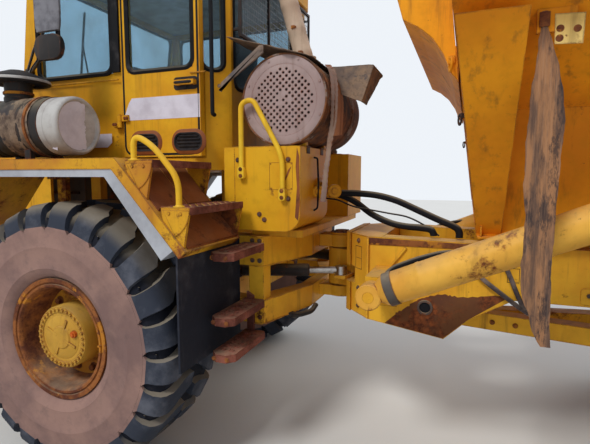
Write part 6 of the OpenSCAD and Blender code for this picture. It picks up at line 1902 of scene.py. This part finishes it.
def bodySide(form):
    form.look = 0
    form.box((-0.33, -0.974, 2.292), (-0.3, -0.959, 2.33), 0.003)
    ring(form, (-0.318, -0.98, 2.286), (1, 0.2, 0), bodyPart["ring"], bodyPart["ringBar"])
    form.look = 1
    form.box((-0.268, -0.966, 2.04), (-0.247, -0.954, 2.062), 0.002)
    ring(form, (-0.269, -0.96, 2.032), (1, 0.3, 0), 0.024, 0.005)
    form.look = 2
    form.plate([(0.076, 2.282), (0.174, 2.276), (0.178, 2.392), (0.072, 2.398)], "Y", -1.2038, -1.1994, 0.0012)
    form.look = 3
    for x, z in ((0.093, 2.34), (0.152, 2.334), (0.092, 2.303)):
        form.lathe([(0.0145, 0), (0.0135, 0.001), (0.0001, 0.0014)], (x, -1.2036, z), "Y", 20, outward=-1)
    form.look = 0
    form.box((-0.165, -0.612, 1.418), (0.0, -0.549, 1.43), 0.003)
    form.box((-0.15, -0.604, 1.429), (-0.14, -0.549, 1.49), 0.002)
    form.rings([[(x, -1.26 - out, z) for out, z in ((0, 2.5475), (0.0035, 2.5485), (0.0035, 2.5515), (0, 2.5525))]
                for x in (-0.3, 5.05)])
    for z0, length in ((1.62, 0.42), (1.95, 0.38), (2.22, 0.3)):
        heights = [z0 + k * 0.01 for k in range(int(length / 0.01))]
        seam = [(-0.1701 - 0.15 * (z - 1.43) / 1.12, -0.3 - 0.004 * (k % 2), z) for k, z in enumerate(heights)]
        form.tube(seam, 0.003, 6)


fittings.mirrored(bodySide)
fittings.finish("bodyFittings", [yellowBody, darkRust, boltedPlate, flangeRust], "load_body", "painted_yellow")


# Straps: heavy woven rubber, pinched at the clamp, twisted, frayed along one edge and drawn to a point
strap = {
    "thick": 0.0055,
    "threads": 9,
    "edges": (     # height, left edge, right edge
        (1.0, 0.11, 0.128), (1.137, 0.047, 0.119), (1.272, 0.006, 0.114), (1.399, -0.004, 0.112), (1.468, 0.006, 0.112),
        (1.593, 0.004, 0.116), (1.735, -0.007, 0.118), (1.828, -0.007, 0.122), (1.962, -0.004, 0.128),
        (2.096, 0.003, 0.118), (2.192, 0.012, 0.096), (2.28, 0.021, 0.071), (2.362, 0.026, 0.05), (2.42, 0.026, 0.048)),
}
straps = Form()


def strapWidth(z):
    # Left and right edge at a height, eased between the listed ones
    for (z0, left0, right0), (z1, left1, right1) in zip(strap["edges"], strap["edges"][1:]):
        if z <= z1:
            s = max(0.0, (z - z0) / (z1 - z0))
            s = s * s * (3 - 2 * s) * 0.5 + s * 0.5
            return left0 + (left1 - left0) * s, right0 + (right1 - right0) * s
    return strap["edges"][-1][1:]


def strapSide(form):
    form.look = 0
    rings, steps, across = [], 64, 18
    for i in range(steps + 1):
        t = i / steps
        z = 2.412 - 1.36 * t
        left, right = strapWidth(z)
        left, right = left + waver(1.3, t * 6, 0.004), right + waver(3.1, t * 5, 0.003)
        face = []
        for k in range(across + 1):
            v = k / across
            pleat = 0.00128 * sin(v * 9 + t * 11) * (1 - min(0.4, t * 1.6)) + 0.00112 * sin(v * strap["threads"] * 6.28)
            face.append((left + (right - left) * v, pleat - 1.206, z))
        rings.append(face + [(x, y + strap["thick"], z) for x, y, z in face[::-1]])
    form.rings(rings)
    form.look = 1
    form.box((0.018, -1.2117, 2.352), (0.056, -1.2005, 2.408), 0.002)
    form.bolt((0.037, -1.2112, 2.38), (0, -1, 0), 0.014, 0.0008, False)


straps.mirrored(strapSide)
straps.finish("bodyStraps", [strapRubber, flangeRust], "load_body", "rubber", ["body_straps"])
print("hoists, body and straps done")


# Floor, light and camera
floorMaterial = Finish("paleFloor")
floorMaterial.colour(floorMaterial.mix(floorMaterial.noise(0.6, 3), (206, 204, 198), (214, 212, 206)))
floorMaterial.shader.inputs["Roughness"].default_value = 0.95
bpy.ops.mesh.primitive_plane_add(size=60, location=(0, 0, 0))
floor = bpy.context.object
floor.name = "studioFloor"
floor.data.materials.append(floorMaterial.material)

# The sky lights the truck with one pale blue, and shows as another
world = bpy.data.worlds.new("studioSky")
bpy.context.scene.world = world
world.use_nodes = True
worldNodes = world.node_tree.nodes
sky, backdrop = worldNodes["Background"], worldNodes.new("ShaderNodeBackground")
for node, tint, strength in ((sky, (0.8, 0.87, 1.0, 1), 0.62), (backdrop, (0.86, 0.9, 0.95, 1), 1.0)):
    node.inputs["Color"].default_value = tint
    node.inputs["Strength"].default_value = strength
rays = worldNodes.new("ShaderNodeLightPath")
seen, shown = worldNodes.new("ShaderNodeMath"), worldNodes.new("ShaderNodeMath")
seen.operation = shown.operation = "MAXIMUM"
worldMix = worldNodes.new("ShaderNodeMixShader")
for source, target in ((rays.outputs["Is Camera Ray"], seen.inputs[0]), (rays.outputs["Is Glossy Ray"], seen.inputs[1]),
                       (seen.outputs[0], shown.inputs[0]), (rays.outputs["Is Transmission Ray"], shown.inputs[1]),
                       (shown.outputs[0], worldMix.inputs[0]), (sky.outputs[0], worldMix.inputs[1]),
                       (backdrop.outputs[0], worldMix.inputs[2]),
                       (worldMix.outputs[0], worldNodes["World Output"].inputs["Surface"])):
    world.node_tree.links.new(source, target)

lights = {
    # name: (towards the light, strength, angle in degrees)
    "keySun": ((-0.25, -0.75, 0.85), 1.9, 14),
    "rearSun": ((0.8, 0.9, 1.0), 0.9, 30),
}
for name, (towards, strength, angle) in lights.items():
    lamp = bpy.data.lights.new(name, "SUN")
    lamp.energy = strength
    lamp.angle = radians(angle)
    show(name, lamp).rotation_euler = Vector(towards).to_track_quat("Z", "Y").to_euler()

view = {"place": (-0.22, -3.28, 1.77), "turn": 21.0, "down": 5.96, "focal": 450 / 590}
camera = bpy.data.cameras.new("photoCamera")
camera.sensor_width = 36
camera.lens = view["focal"] * camera.sensor_width
camera.clip_end = 200
cameraObject = show("photoCamera", camera)
cameraObject.location = view["place"]
cameraObject.rotation_euler = (radians(90 - view["down"]), 0, radians(view["turn"]))
bpy.context.scene.camera = cameraObject
bpy.context.scene.view_settings.view_transform = "Standard"

print("scene ready")
